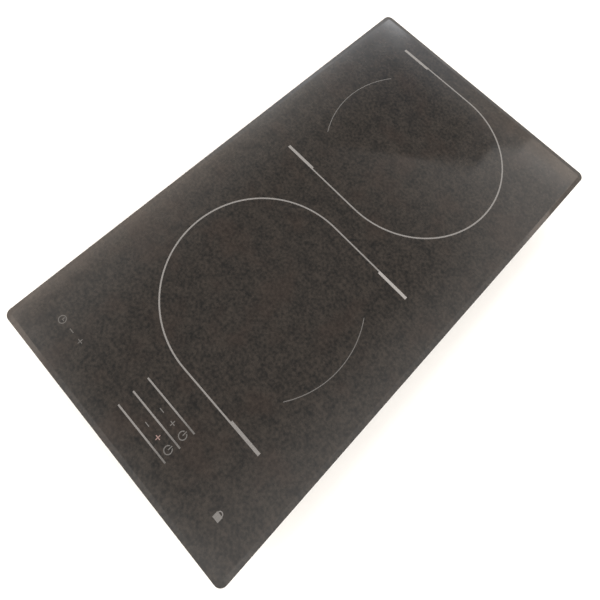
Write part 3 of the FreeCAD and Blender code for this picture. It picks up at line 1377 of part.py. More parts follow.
def make_terminals():
    inner_width = cell.box_width - 2 * cell.box_wall
    inner_depth = cell.box_depth - 2 * cell.box_wall
    shell = centred_box(box_x, box_y, floor_top, cell.box_width, cell.box_depth, cell.box_height)
    hollow = centred_box(box_x, box_y, floor_top, inner_width, inner_depth, cell.box_height - cell.box_wall)
    wires_z = block_low + cell.block_height / 2
    pins = rod((box_x - cell.box_width / 2, hinge_y, hinge_z), cell.hinge_pin_radius + cell.hinge_pin_gap,
               cell.box_width, "+X")
    cable = rod((box_x, wall_y - cell.box_wall, cable_z), cell.cable_radius + cell.grommet_wall,
                cell.box_wall, "+Y")
    wire_holes = [rod((x, box_y - cell.box_depth / 2, wires_z), cell.wire_radius + cell.fit_gap,
                      cell.box_wall, "+Y") for x in pole_spots()]
    node("terminal_box", cut(shell, hollow, pins, cable, *wire_holes))
    block = centred_box(box_x, block_front + cell.block_depth / 2, block_low, cell.block_width,
                        cell.block_depth, cell.block_height)
    screw_rows = [block_front + share * cell.block_depth for share in (0.3, 0.7)]
    ways = []
    for x in pole_spots():
        ways.append(rod((x, block_front, wires_z), cell.pole_radius, cell.block_depth, "+Y"))
        for y in screw_rows:
            ways.append(rod((x, y, block_low), cell.pole_radius, wires_z - block_low))
    node("terminal_block", cut(block, *ways))
    screw_low = block_low + cell.screw_sink
    screws = [rod((x, y, screw_low), cell.pole_radius - cell.shank_gap,
                  wires_z - cell.wire_radius - screw_low) for x in pole_spots() for y in screw_rows]
    node("terminal_screws", gather(screws))
    make_wires(wires_z)
    make_lid(inner_width, inner_depth)
    make_grommet()


def make_wires(wires_z):
    """Wires from the terminal block forward through the box, then down to the power board."""
    start, landing, drop, bend, radius = values(block_front + 0.45 * cell.block_depth,
                                                tongue_back - cell.component_gap, wires_z - board_top,
                                                cell.wire_bend, cell.wire_radius)
    wires = []
    for x in pole_spots():
        points = [Vector(x.value, start, drop), Vector(x.value, landing, drop), Vector(x.value, landing, 0)]
        wires.append(bent_wire(points, bend, radius))
    shape_node("mains_wires", Part.makeCompound(wires), (0, 0, board_top))


def make_lid(inner_width, inner_depth):
    """A snap-in lid, flush with the casing's underside, on two hinge pins."""
    width = inner_width - 2 * cell.lid_gap
    lid_front = hinge_y - cell.hinge_radius / 2
    lid_back = box_y + inner_depth / 2 - cell.lid_gap
    plate = box((box_x - width / 2, lid_front, floor_under), (width, lid_back - lid_front, cell.lid_thick))
    barrel = rod((box_x - width / 2, hinge_y, hinge_z), cell.hinge_radius, width, "+X")
    pin_length = inner_width + 1.5 * cell.box_wall
    pins = rod((box_x - pin_length / 2, hinge_y, hinge_z), cell.hinge_pin_radius, pin_length, "+X")
    node("terminal_lid", join(plate, barrel, pins))


def make_grommet():
    inside = wall_y - cell.box_wall
    sheet_depth = cell.box_wall + cell.casing_thick
    neck = cell.cable_radius + cell.grommet_wall
    lip = neck + cell.grommet_lip
    body = join(rod((box_x, inside, cable_z), lip, cell.grommet_lip, "-Y"),
                rod((box_x, inside, cable_z), neck, sheet_depth, "+Y"),
                rod((box_x, wall_y + cell.casing_thick, cable_z), lip, cell.grommet_lip, "+Y"))
    bore = rod((box_x, inside - cell.grommet_lip, cable_z), cell.cable_radius,
               sheet_depth + 2 * cell.grommet_lip, "+Y")
    node("cable_grommet", cut(body, bore))


# ---------------------------------------------------------------- build, check and write
def main():
    make_glass()
    make_zone_print()
    make_control_print()
    frame_outline, window = make_seals()
    make_frame(frame_outline, window)
    make_clips()
    make_casing()
    make_shield()
    make_coil("front", front_zone)
    make_coil("rear", rear_zone)
    make_power_board()
    make_heatsink()
    make_power_parts()
    make_fan()
    make_controls()
    make_terminals()
    doc.recompute()
    for thing in doc.Objects:
        if "Invalid" in thing.State or "Error" in thing.State:
            raise RuntimeError(f"{thing.Label} could not be computed")
    os.makedirs("parts", exist_ok=True)
    for label, thing in nodes.items():
        shape = thing.Shape
        if shape.isNull() or not shape.isValid():
            raise RuntimeError(f"{label} has no valid shape")
        shape.exportStep(f"parts/{label}.step")
        print(f"{label}: {len(shape.Solids)} solids, {shape.Volume:.0f} mm3")
    print(f"{len(nodes)} sub-parts")


main()
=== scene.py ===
# %% [markdown]
# # An induction cooktop, dressed in Blender
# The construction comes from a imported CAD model: every sheet, coil and screw is already there, at
# its real size and place. This lesson gives those pieces their finishes, and remodels the ones
# whose looks need more than a construction model holds: rounded arrises, rolled bends, recesses.

# %% Load the frame and keep its box
import bmesh
import bpy
import json
import math
from mathutils import Matrix, Quaternion, Vector


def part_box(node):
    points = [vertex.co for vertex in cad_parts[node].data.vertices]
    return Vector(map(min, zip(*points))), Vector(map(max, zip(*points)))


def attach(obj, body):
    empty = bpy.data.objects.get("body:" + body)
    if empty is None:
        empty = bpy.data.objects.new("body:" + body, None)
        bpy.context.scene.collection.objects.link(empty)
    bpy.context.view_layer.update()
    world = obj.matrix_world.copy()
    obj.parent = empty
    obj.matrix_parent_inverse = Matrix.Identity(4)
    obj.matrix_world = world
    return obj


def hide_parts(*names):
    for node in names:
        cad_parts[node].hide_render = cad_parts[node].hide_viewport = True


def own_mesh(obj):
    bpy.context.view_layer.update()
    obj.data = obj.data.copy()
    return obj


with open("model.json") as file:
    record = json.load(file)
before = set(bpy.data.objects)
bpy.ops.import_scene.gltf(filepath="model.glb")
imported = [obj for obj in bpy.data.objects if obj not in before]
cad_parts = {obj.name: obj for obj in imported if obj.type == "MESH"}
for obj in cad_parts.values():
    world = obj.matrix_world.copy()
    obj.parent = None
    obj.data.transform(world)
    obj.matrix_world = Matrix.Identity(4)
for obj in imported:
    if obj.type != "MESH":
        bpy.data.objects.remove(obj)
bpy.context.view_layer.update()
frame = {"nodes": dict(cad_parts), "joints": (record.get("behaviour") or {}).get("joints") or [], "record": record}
MM = 0.001

# %% [markdown]
# ## Shader maths as Python
# A finish is a graph of nodes. Wiring it by hand hides the idea, so one small class wraps a
# socket and lets Python's operators add the Math nodes: `1 - mask * 0.3` reads like what it does.
# Every other node comes from one method, which takes its type, its settings and its sockets.


# %% Values and node trees
class Value:
    """Something that varies over a surface. Operators on it add Math nodes."""

    def __init__(self, nodes, socket):
        self.nodes = nodes
        self.socket = socket

    def maths(self, operation, *numbers):
        made = self.nodes.add("ShaderNodeMath", {"operation": operation}, dict(enumerate(numbers)))
        return Value(self.nodes, made.outputs[0])

    def __add__(self, other):
        return self.maths("ADD", self, other)

    def __radd__(self, other):
        return self.maths("ADD", other, self)

    def __sub__(self, other):
        return self.maths("SUBTRACT", self, other)

    def __rsub__(self, other):
        return self.maths("SUBTRACT", other, self)

    def __mul__(self, other):
        return self.maths("MULTIPLY", self, other)

    def __rmul__(self, other):
        return self.maths("MULTIPLY", other, self)

    def __truediv__(self, other):
        return self.maths("DIVIDE", self, other)

    def __pow__(self, other):
        return self.maths("POWER", self, other)

    def __abs__(self):
        return self.maths("ABSOLUTE", self)

    def __lt__(self, other):
        return self.maths("LESS_THAN", self, other)

    def __gt__(self, other):
        return self.maths("GREATER_THAN", self, other)

    def sine(self):
        return self.maths("SINE", self)

    def fraction(self):
        return self.maths("FRACT", self)

    def least(self, other):
        return self.maths("MINIMUM", self, other)

    def most(self, other):
        return self.maths("MAXIMUM", self, other)

    def between(self, low, high):
        """0 below low, 1 above high, and a smooth step from one to the other."""
        made = self.nodes.add("ShaderNodeMapRange", {"interpolation_type": "SMOOTHSTEP"},
                              {"Value": self, "From Min": low, "From Max": high})
        return Value(self.nodes, made.outputs[0])


class Nodes:
    """A node tree to which nodes are added by type, settings and sockets."""

    def __init__(self, tree):
        self.tree = tree

    def add(self, kind, settings=None, sockets=None):
        made = self.tree.nodes.new(kind)
        for name, setting in (settings or {}).items():
            setattr(made, name, setting)
        for name, number in (sockets or {}).items():
            self.feed(made.inputs[name], number)
        return made

    def feed(self, socket, number):
        if isinstance(number, Value):
            self.tree.links.new(number.socket, socket)
        elif isinstance(number, tuple) and socket.type == "RGBA":
            socket.default_value = (*number, 1)
        else:
            socket.default_value = number

    def place(self, stretch=(1, 1, 1), centre=(0, 0, 0), turn=0):
        """Object coordinates, centred on a spot, turned about Z and stretched."""
        seen = self.add("ShaderNodeTexCoord").outputs["Object"]
        moved = self.add("ShaderNodeMapping", {"vector_type": "POINT"},
                         {"Vector": Value(self, seen), "Location": [-size for size in centre]})
        turned = self.add("ShaderNodeMapping", {"vector_type": "POINT"},
                          {"Vector": Value(self, moved.outputs[0]), "Rotation": (0, 0, turn),
                           "Scale": stretch})
        return Value(self, turned.outputs[0])

    def axes(self, vector=None):
        made = self.add("ShaderNodeSeparateXYZ", None, {0: vector or self.place()})
        return [Value(self, output) for output in made.outputs]

    def noise(self, size, detail=3, rough=0.5, **where):
        """Clouds whose blobs are about so many metres across."""
        made = self.add("ShaderNodeTexNoise", None,
                        {"Vector": self.place(**where), "Scale": 1 / size,
                         "Detail": detail, "Roughness": rough})
        return Value(self, made.outputs[0])

    def spots(self, size):
        """The distance to the middle of the nearest of many cells, in cells."""
        made = self.add("ShaderNodeTexVoronoi", None, {"Vector": self.place(), "Scale": 1 / size})
        return Value(self, made.outputs["Distance"])

    def patches(self, size):
        """One random grey for each cell."""
        made = self.add("ShaderNodeTexVoronoi", None, {"Vector": self.place(), "Scale": 1 / size})
        return Value(self, made.outputs["Color"])

    def mix(self, share, first, second):
        made = self.add("ShaderNodeMix", {"data_type": "RGBA"}, {0: share, 6: first, 7: second})
        return Value(self, made.outputs[2])


class Finish(Nodes):
    """A material: constants on the shader's own sockets, and what varies linked to them."""

    def __init__(self, name, constants):
        self.name = name
        self.material = bpy.data.materials.new(name)
        self.material.use_nodes = True
        super().__init__(self.material.node_tree)
        self.shader = self.tree.nodes["Principled BSDF"]
        for socket, number in constants.items():
            self.feed(self.shader.inputs[socket], number)

    def varies(self, socket, value):
        self.feed(self.shader.inputs[socket], value)

    def tints(self, share, dark, light):
        """The base colour goes from dark to light as the share goes from 0 to 1."""
        self.varies("Base Color", self.mix(share, dark, light))

    def bump(self, height, depth):
        """Relief whose deepest point lies so many metres down."""
        made = self.add("ShaderNodeBump", None,
                        {"Height": height, "Distance": depth, "Strength": 1})
        self.varies("Normal", Value(self, made.outputs[0]))


FINISHES = {}


def finished(finish):
    """Keeps a finish under its name, for the pieces that wear it."""
    FINISHES[finish.name] = finish.material
    print("finish", finish.name, len(finish.tree.nodes), "nodes")


# %% [markdown]
# ## The camera
# The cooktop lies flat, and it was looked at from close above its front edge, with the camera
# turned so that the plate runs from the lower left to the upper right. A short lens that close
# makes the near end look much wider than the far one. The camera's place is given from the middle
# of the glass, so that it follows the plate.

# %% Camera
glass_low, glass_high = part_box("glass_top")
GLASS_MIDDLE = Vector(((glass_low.x + glass_high.x) / 2, (glass_low.y + glass_high.y) / 2,
                       glass_high.z))
CAMERA_FROM_GLASS = Vector((43.2, -136.6, 398.3)) * MM
LOOKS_ALONG = Vector((-0.1854, 0.2689, -0.9451))
ROLL = math.radians(12.25)

camera_data = bpy.data.cameras.new("camera")
camera_data.sensor_width = 36
camera_data.lens = 25.8
camera_data.shift_x = 0.03
camera_data.shift_y = -0.12
camera_data.clip_start = 0.01
camera = bpy.data.objects.new("camera", camera_data)
bpy.context.scene.collection.objects.link(camera)
camera.location = GLASS_MIDDLE + CAMERA_FROM_GLASS
camera.rotation_mode = "QUATERNION"
camera.rotation_quaternion = LOOKS_ALONG.to_track_quat("-Z", "Y") @ Quaternion((0, 0, 1), ROLL)
bpy.context.scene.camera = camera
print("camera at", [round(size, 3) for size in camera.location])

# %% [markdown]
# ## Light and floor
# Polished black glass shows hardly any colour of its own: nearly all that it shows is the room,
# mirrored at four percent. So the room comes first. A flat mirror turns each direction of the sky
# into one place on the plate, as seen from the camera's spot, and that place is easy to work out.
# The world below is therefore described in millimetres from the middle of the plate. The
# directions stay fixed, so from other sides the plate mirrors other parts of the room.

# %% Where each direction is mirrored
LOWEST_RISE = 0.02

world = bpy.data.worlds.new("studio")
world.use_nodes = True
bpy.context.scene.world = world
room = Nodes(world.node_tree)
direction = room.add("ShaderNodeTexCoord").outputs["Generated"]
across, along, upward = room.axes(Value(room, direction))
rise = upward.most(LOWEST_RISE)
camera_x, camera_y, camera_z = (size / MM for size in CAMERA_FROM_GLASS)
plate_x = across / rise * camera_z + camera_x
plate_y = along / rise * camera_z + camera_y
leftward = 0 - plate_x
frontward = 0 - plate_y
print("the camera looks from", round(camera_z), "mm above the plate")

# %% [markdown]
# A dim ceiling hangs over the middle, and walls stand all round it. A lighter panel lies over the
# rear zone and adds to the ceiling's light: its long edge runs through one point in one direction,
# and its other side has a step towards the back.

# %% Ceiling, walls and panel
CEILING_MIDDLE = (5, 5)
CEILING_HALF = (95, 260)
CEILING_LIGHT = 0.59
WALL_LIGHT = 1.7
CEILING_FADES = (0.75, 1.75)
SQUARENESS = 3
off_x = abs(plate_x - CEILING_MIDDLE[0]) / CEILING_HALF[0]
off_y = abs(plate_y - CEILING_MIDDLE[1]) / CEILING_HALF[1]
away = (off_x ** SQUARENESS + off_y ** SQUARENESS) ** (1 / SQUARENESS)
on_wall = away.between(*CEILING_FADES)

PANEL_POINT = Vector((-63, 81))
PANEL_EDGE = Vector((0.775, 0.632))
PANEL_SIDE = 54
PANEL_STEP = 22
PANEL_BLUR = 4
PANEL_LIGHT = 1.8
past_edge = (plate_x - PANEL_POINT.x) * PANEL_EDGE.y - (plate_y - PANEL_POINT.y) * PANEL_EDGE.x
past_side = plate_x - PANEL_SIDE - PANEL_STEP * plate_y.between(212, 232)
on_panel = past_edge.most(past_side).between(-PANEL_BLUR, PANEL_BLUR)
panel = on_panel * plate_y.between(25, 300) * PANEL_LIGHT
overhead = (CEILING_LIGHT + panel) * (1 - on_wall) + WALL_LIGHT * on_wall
print("ceiling", CEILING_LIGHT, "walls", WALL_LIGHT)

# %% [markdown]
# Windows glow past the plate's left, front and back edges, where its rim mirrors them. Each glow
# rises between two distances from the middle. The back one is stronger towards both corners.

# %% Glows past the edges
LEFT_GLOW = 1.5
LEFT_FADE = 0.7
FRONT_GLOW = 0.45
BACK_GLOW = 0.8
BACK_RIGHT_GLOW = 0.8
BACK_LEFT_GLOW = 3.0
GLOWS_END = 290
left = leftward.between(124, 147) * LEFT_GLOW - leftward.between(170, 300) * LEFT_FADE
front = frontward.between(236, 262) * (frontward < GLOWS_END) * FRONT_GLOW
back = plate_y.between(205, 246) * BACK_GLOW
back_right = plate_y.between(232, 252) * plate_x.between(86, 125) * BACK_RIGHT_GLOW
back_left = plate_y.between(238, 254) * leftward.between(98, 125) * (leftward < 175)
back = (back + back_right + back_left * BACK_LEFT_GLOW) * (plate_y < GLOWS_END)
overhead = overhead + left + front + back
print("glows end", GLOWS_END, "mm from the middle")

# %% [markdown]
# The light is a little warm all round, warmer at the front left and behind, and cooler at the back
# left. Low down, the room fades to an even pale horizon.

# %% Horizon and colour
HORIZON_LIGHT = 1.1
PLAIN_LIGHT = (1.0, 0.965, 0.925)
WARM_LIGHT = (1.0, 0.89, 0.8)
COOL_LIGHT = (0.94, 0.955, 0.98)
high_up = upward.between(0.15, 0.6)
warm_side = leftward.between(110, 145) * (1 - plate_y.between(-20, 60))
warm_back = plate_x.between(-40, 60) * plate_y.between(232, 248)
cool_back = leftward.between(-10, 60) * plate_y.between(110, 200)
colour = room.mix((warm_side + warm_back) * high_up, PLAIN_LIGHT, WARM_LIGHT)
colour = room.mix(cool_back * high_up, colour, COOL_LIGHT)
background = world.node_tree.nodes["Background"]
room.feed(background.inputs["Strength"], overhead * high_up + HORIZON_LIGHT * (1 - high_up))
room.feed(background.inputs["Color"], colour)
print("world", len(world.node_tree.nodes), "nodes")

# %% [markdown]
# One large softbox adds a little direction to the light, and pale paper is the floor.

# %% Lamp
LAMP_FROM_GLASS = Vector((1.25, -1.35, 0.62))
lamp_data = bpy.data.lights.new("softbox", "AREA")
lamp_data.energy = 4
lamp_data.shape = "RECTANGLE"
lamp_data.size = 2.0
lamp_data.size_y = 1.0
lamp_data.color = (1.0, 0.97, 0.93)
lamp = bpy.data.objects.new("softbox", lamp_data)
bpy.context.scene.collection.objects.link(lamp)
lamp.location = GLASS_MIDDLE + LAMP_FROM_GLASS
lamp.rotation_euler = (GLASS_MIDDLE - lamp.location).to_track_quat("-Z", "Y").to_euler()
print("lamp at", [round(size, 2) for size in lamp.location])

# %% Floor
FLOOR_REACH = 6
floor_mesh = bmesh.new()
bmesh.ops.create_grid(floor_mesh, x_segments=1, y_segments=1, size=FLOOR_REACH)
floor_data = bpy.data.meshes.new("floor")
floor_mesh.to_mesh(floor_data)
floor_mesh.free()
floor = bpy.data.objects.new("floor", floor_data)
bpy.context.scene.collection.objects.link(floor)
paper = Finish("floor_paper", {"Roughness": 0.85, "Specular IOR Level": 0.2})
paper.tints(paper.noise(0.4), (0.9, 0.895, 0.88), (0.93, 0.925, 0.91))
finished(paper)
floor_data.materials.append(FINISHES["floor_paper"])
bpy.context.scene.view_settings.view_transform = "Standard"
print("floor", FLOOR_REACH * 2, "m across")

# %% [markdown]
# ## Mesh helpers
# A new piece is a bmesh that operators shape. When it is done it becomes an object at the origin,
# rides on a body, takes a finish, and stands for the CAD node that it replaces.


# %% From bmesh to piece
SMOOTH_UP_TO = math.radians(35)
MERGE_WITHIN = 0.002 * MM


def smooth(made):
    """Smooth shading that leaves flat faces flat: rounded edges lean on larger neighbours."""
    made.data.shade_smooth()
    made.data.set_sharp_from_angle(angle=SMOOTH_UP_TO)
    even = made.modifiers.new("even_shading", "WEIGHTED_NORMAL")
    even.keep_sharp = True


def piece(name, bm, body, finish, slot, *nodes):
    """An object made of a bmesh, in the place of some CAD nodes."""
    mesh = bpy.data.meshes.new(name)
    bm.to_mesh(mesh)
    bm.free()
    mesh.materials.append(FINISHES[finish])
    made = bpy.data.objects.new(name, mesh)
    bpy.context.scene.collection.objects.link(made)
    smooth(made)
    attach(made, body)
    if nodes:
        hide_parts(*nodes)
    print("piece", name, len(mesh.polygons), "faces")
    return made


def merged(node):
    """A copy of a CAD node's mesh in which neighbouring triangles share their corners."""
    bm = bmesh.new()
    bm.from_mesh(frame["nodes"][node].data)
    bmesh.ops.remove_doubles(bm, verts=bm.verts, dist=MERGE_WITHIN)
    return bm


def islands(node):
    """The box (low, high) of each separate solid of a CAD node."""
    bm = merged(node)
    waiting = set(bm.verts)
    boxes = []
    while waiting:
        reached = [waiting.pop()]
        spots = []
        while reached:
            spot = reached.pop()
            spots.append(spot.co)
            beyond = {edge.other_vert(spot) for edge in spot.link_edges} & waiting
            waiting -= beyond
            reached += beyond
        boxes.append([Vector([pick(axis) for axis in zip(*spots)]) for pick in (min, max)])
    bm.free()
    return sorted(boxes, key=lambda box: [round(size, 4) for size in box[0]])


def edge_loop(faces):
    """The edges that only one of these faces has."""
    faces = set(faces)
    edges = {edge for face in faces for edge in face.edges}
    return [edge for edge in edges if sum(face in faces for face in edge.link_faces) == 1]


def edges_over(bm, angle):
    """The edges at which two faces meet at more than an angle."""
    return [edge for edge in bm.edges if edge.calc_face_angle(0) > angle]


def round_over(bm, edges, radius, segments=3):
    bmesh.ops.bevel(bm, geom=list(edges), offset=radius, offset_type="OFFSET", affect="EDGES",
                    segments=segments, profile=0.5, material=-1, clamp_overlap=True)


# %% [markdown]
# ## Glass
# Black glass-ceramic is a dark, warm brown-black body, polished, with a fine sprayed speckle that
# hides finger marks. Its mirror comes from the shader. The colour holds the speckle and a broad
# mottle, and the roughness holds the wiped smears that every used plate has.

# %% Glass-ceramic
GLASS_DARK = (0.001, 0.0008, 0.0006)
GLASS_LIGHT = (0.0275, 0.022, 0.0178)
GLASS_DOTS = (0.035, 0.029, 0.024)
GLASS_BROWN = (0.026, 0.0155, 0.011)

glass = Finish("glass_ceramic", {"IOR": 1.5, "Specular IOR Level": 0.5})
mottle = glass.noise(12 * MM, detail=4, rough=0.6)
grains = glass.noise(3 * MM, detail=2, rough=0.5)
dots = (1 - glass.spots(2 * MM).between(0.05, 0.4)) * glass.noise(7 * MM).between(0.4, 0.62)
clouds = glass.noise(38 * MM).between(0.48, 0.68)
tint = glass.mix((mottle * 0.5 + grains * 0.5).between(0.27, 0.75), GLASS_DARK, GLASS_LIGHT)
tint = glass.mix(dots * 0.35, tint, GLASS_DOTS)
glass.tints(clouds * 0.3, tint, GLASS_BROWN)
smears = glass.noise(55 * MM, detail=5, rough=0.6, stretch=(1, 0.45, 1), turn=0.6)
glass.varies("Roughness", 0.035 + 0.06 * smears.between(0.42, 0.66) + 0.02 * mottle)
glass.bump(glass.noise(16 * MM, detail=2), 0.02 * MM)
finished(glass)

# %% [markdown]
# The plate has four rounded corners and a rim that falls away to its edge. Its outline is a
# rectangle whose corners are bevelled round. The polished rim is an inset that is lifted as it is
# drawn in, and the thin arrises are bevels again, one on each sharp edge that is left.

# %% Glass plate
CORNER = 7 * MM
RIM_WIDTH = 5 * MM
RIM_DROP = 1.2 * MM
ARRIS = 0.45 * MM
LEVEL_WITHIN = 0.001 * MM
SHARP_FROM = math.radians(40)


def block(low, high):
    """A plain block between two corners, to be shaped further."""
    bm = bmesh.new()
    bmesh.ops.create_cube(bm, size=1)
    bmesh.ops.scale(bm, vec=high - low, verts=bm.verts)
    bmesh.ops.translate(bm, vec=(low + high) / 2, verts=bm.verts)
    return bm


def upright_edges(bm):
    return [edge for edge in bm.edges
            if abs((edge.verts[0].co - edge.verts[1].co).normalized().z) > 0.99]


def facing(bm, direction):
    return [face for face in bm.faces if face.normal.dot(Vector(direction)) > 0.99]


plate = block(glass_low, Vector((glass_high.x, glass_high.y, glass_high.z - RIM_DROP)))
round_over(plate, upright_edges(plate), CORNER, segments=10)
plate.normal_update()
bmesh.ops.inset_region(plate, faces=facing(plate, (0, 0, 1)), thickness=RIM_WIDTH, depth=RIM_DROP,
                       use_even_offset=True)
plate.normal_update()
rim_edges = edge_loop(facing(plate, (0, 0, 1))) + edge_loop(facing(plate, (0, 0, -1)))
rim_edges += [edge for edge in edges_over(plate, SHARP_FROM) if edge not in rim_edges
              and abs(edge.verts[0].co.z - edge.verts[1].co.z) < LEVEL_WITHIN]
round_over(plate, rim_edges, ARRIS)
piece("glass_plate", plate, "cooktop", "glass_ceramic", "glass", "glass_top")

# %% [markdown]
# ## Printed enamel
# The zones and the keys are a light grey enamel, fired on the glass. A screen print is never even:
# it is dense where the stroke is thick and thin where it is fine, with tiny pinholes. One finish
# does both prints, and masks on its place give the thick ends more and the fine arcs less.

# %% Enamel
THIN_ENAMEL = (0.02, 0.018, 0.016)
FULL_ENAMEL = (0.58, 0.57, 0.56)
LAMP_THROUGH = (0.2, 0.075, 0.06)


def enamel(name, density, lit=None):
    """Grey enamel that shows the dark glass where it is thin; a lamp may shine through it."""
    made = Finish(name, {"IOR": 1.5, "Emission Strength": 1.0 if lit else 0.0})
    grain = made.noise(0.9 * MM, detail=2).between(0.2, 0.75)
    holes = made.spots(1.1 * MM).between(0.08, 0.2)
    cover = (density(made) * (0.82 + 0.18 * grain) * (0.86 + 0.14 * holes)).least(1)
    made.tints(cover, THIN_ENAMEL, FULL_ENAMEL)
    made.varies("Roughness", 0.28 + 0.2 * grain)
    made.bump(grain, 0.015 * MM)
    if lit:
        made.varies("Emission Color", made.mix(lit(made), (0, 0, 0), LAMP_THROUGH))
    finished(made)


# %% How dense the zone marks are
STROKE_DENSITY = 0.29
FINE_LESS = 0.16
REAR_MARK_MORE = 0.04
UPPER_MARK_MORE = 0.18
LOWER_MARK_LESS = 0.02
MARKS_FROM = 60 * MM
FINE_FROM = 70 * MM
MARKS_OFF = 80 * MM
lines_low, lines_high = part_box("zone_print")


def zone_density(made):
    """Thin strokes in the middle, other densities on the thick ends, less on the fine arcs."""
    x, y, _ = made.axes()
    middle = (lines_low.y + lines_high.y) / 2
    rear = y > middle
    to_ends = x * (1 - 2 * rear)
    zone_y = middle + (2 * rear - 1) * (lines_high.y - lines_low.y) / 4
    off_zone = abs(y - zone_y)
    on_mark = to_ends.between(MARKS_FROM, MARKS_FROM + MM) * (off_zone > MARKS_OFF)
    on_fine = (to_ends > FINE_FROM) * (off_zone < FINE_FROM)
    front_more = UPPER_MARK_MORE * (y > zone_y) - LOWER_MARK_LESS
    more = rear * REAR_MARK_MORE + (1 - rear) * front_more
    return STROKE_DENSITY + more * on_mark - FINE_LESS * on_fine


enamel("zone_enamel", zone_density)

# %% How dense the keys are
RULE_DENSITY = 0.28
WORN_LESS = 0.14
KEY_DENSITY = 0.14
PADLOCK_MORE = 0.07
TIMER_LESS = 0.045
UNEVEN_BY = 0.05
FIRST_RULE = -233.4 * MM
RULE_STEP = 15.4 * MM
RULE_HALF = 1.2 * MM
RULES_MIDDLE = 16 * MM
RULES_HALF = 34 * MM
PADLOCK_FROM = 80 * MM
TIMER_UP_TO = -60 * MM
LIT_PLUS = Vector((27.5, -225.7)) * MM
LIT_HALF = 3 * MM


def key_density(made):
    """Even rules, worn at the right-hand end where they are touched most, and fainter keys."""
    x, y, _ = made.axes()
    rows = (y - FIRST_RULE + RULE_STEP / 2) / RULE_STEP
    off_rule = abs(rows.fraction() - 0.5) * RULE_STEP
    on_rule = (off_rule < RULE_HALF) * (abs(x - RULES_MIDDLE) < RULES_HALF)
    worn = x.between(14 * MM, 46 * MM) * (x < 60 * MM)
    rule = RULE_DENSITY - WORN_LESS * worn
    key = KEY_DENSITY + PADLOCK_MORE * (x > PADLOCK_FROM) - TIMER_LESS * (x < TIMER_UP_TO)
    return rule * on_rule + key * (1 - on_rule) + UNEVEN_BY * (made.noise(14 * MM) - 0.5)


def lit_plus(made):
    """The lamp of the front zone shines faintly through its plus key."""
    x, y, _ = made.axes()
    return (abs(x - LIT_PLUS.x) < LIT_HALF) * (abs(y - LIT_PLUS.y) < LIT_HALF)


enamel("key_enamel", key_density, lit=lit_plus)

# %% [markdown]
# ## Metals
# Galvanised sheet is zinc that froze in flat crystals of different greys, plating is bright and
# even, and drawn aluminium and spring steel have marks that run one way. Cells with a random grey
# each make the crystals, and stretched noise makes the drawing marks. Grain is in millimetres.


# %% Metals
def metal(name, dark, light, rough, grain=6, drawn=(1, 1, 1), crystal=None):
    """Two greys, a roughness, the grain and how it is drawn out, and the size of crystals."""
    made = Finish(name, {"Metallic": 1})
    tone = made.noise(grain * MM, detail=4, rough=0.6, stretch=drawn)
    if crystal:
        crystals = made.patches(crystal * MM) * 0.6 + made.patches(crystal * MM * 2.3) * 0.4
        tone = tone * 0.55 + crystals * 0.45
    made.tints(tone.between(0.15, 0.85), dark, light)
    dirt = made.noise(45 * MM, detail=5).between(0.5, 0.75)
    made.varies("Roughness", rough + 0.14 * tone + 0.12 * dirt)
    made.bump(made.noise(grain * MM / 4, detail=2, stretch=drawn), 0.02 * MM)
    finished(made)


metal("galvanised", (0.32, 0.33, 0.34), (0.52, 0.53, 0.54), 0.26, crystal=4)
metal("zinc_plate", (0.42, 0.43, 0.45), (0.66, 0.67, 0.68), 0.2, grain=2)
metal("spring_steel", (0.34, 0.34, 0.35), (0.55, 0.55, 0.56), 0.22, grain=1.5, drawn=(0.2, 1, 1))
metal("mill_aluminium", (0.5, 0.51, 0.52), (0.72, 0.73, 0.74), 0.3, grain=2, drawn=(1, 0.06, 1))
metal("fin_aluminium", (0.45, 0.46, 0.47), (0.66, 0.67, 0.68), 0.34, grain=1.2,
      drawn=(1, 0.04, 1))
metal("tin_plate", (0.5, 0.49, 0.46), (0.72, 0.71, 0.68), 0.3, grain=2)
metal("brass_plate", (0.5, 0.36, 0.14), (0.72, 0.56, 0.26), 0.25, grain=2)
metal("sintered_bronze", (0.3, 0.2, 0.09), (0.48, 0.34, 0.17), 0.5, grain=0.6)
metal("stator_iron", (0.1, 0.1, 0.1), (0.24, 0.24, 0.245), 0.45, grain=2, drawn=(0.3, 0.3, 6))

# %% [markdown]
# ## Paint, plastics and rubber
# What is sprayed or moulded has a fine skin, faint flow marks and rubbed patches. Grain and the
# depth of the skin are in millimetres here too.


# %% Paint, plastics and rubber
def moulded(name, dark, light, rough, grain=0.5, depth=0.03, coat=0):
    """Two colours, a roughness, the grain and depth of the skin, and some clear coat."""
    made = Finish(name, {"Specular IOR Level": 0.5, "Coat Roughness": 0.15})
    flow = made.noise(20 * MM, detail=3)
    skin = made.noise(grain * MM, detail=2, rough=0.7)
    made.tints((flow * 0.6 + skin * 0.4).between(0.3, 0.7), dark, light)
    made.varies("Roughness", rough + 0.16 * flow + 0.06 * skin)
    if coat:
        made.varies("Coat Weight", flow * coat)
    made.bump(skin, depth * MM)
    finished(made)


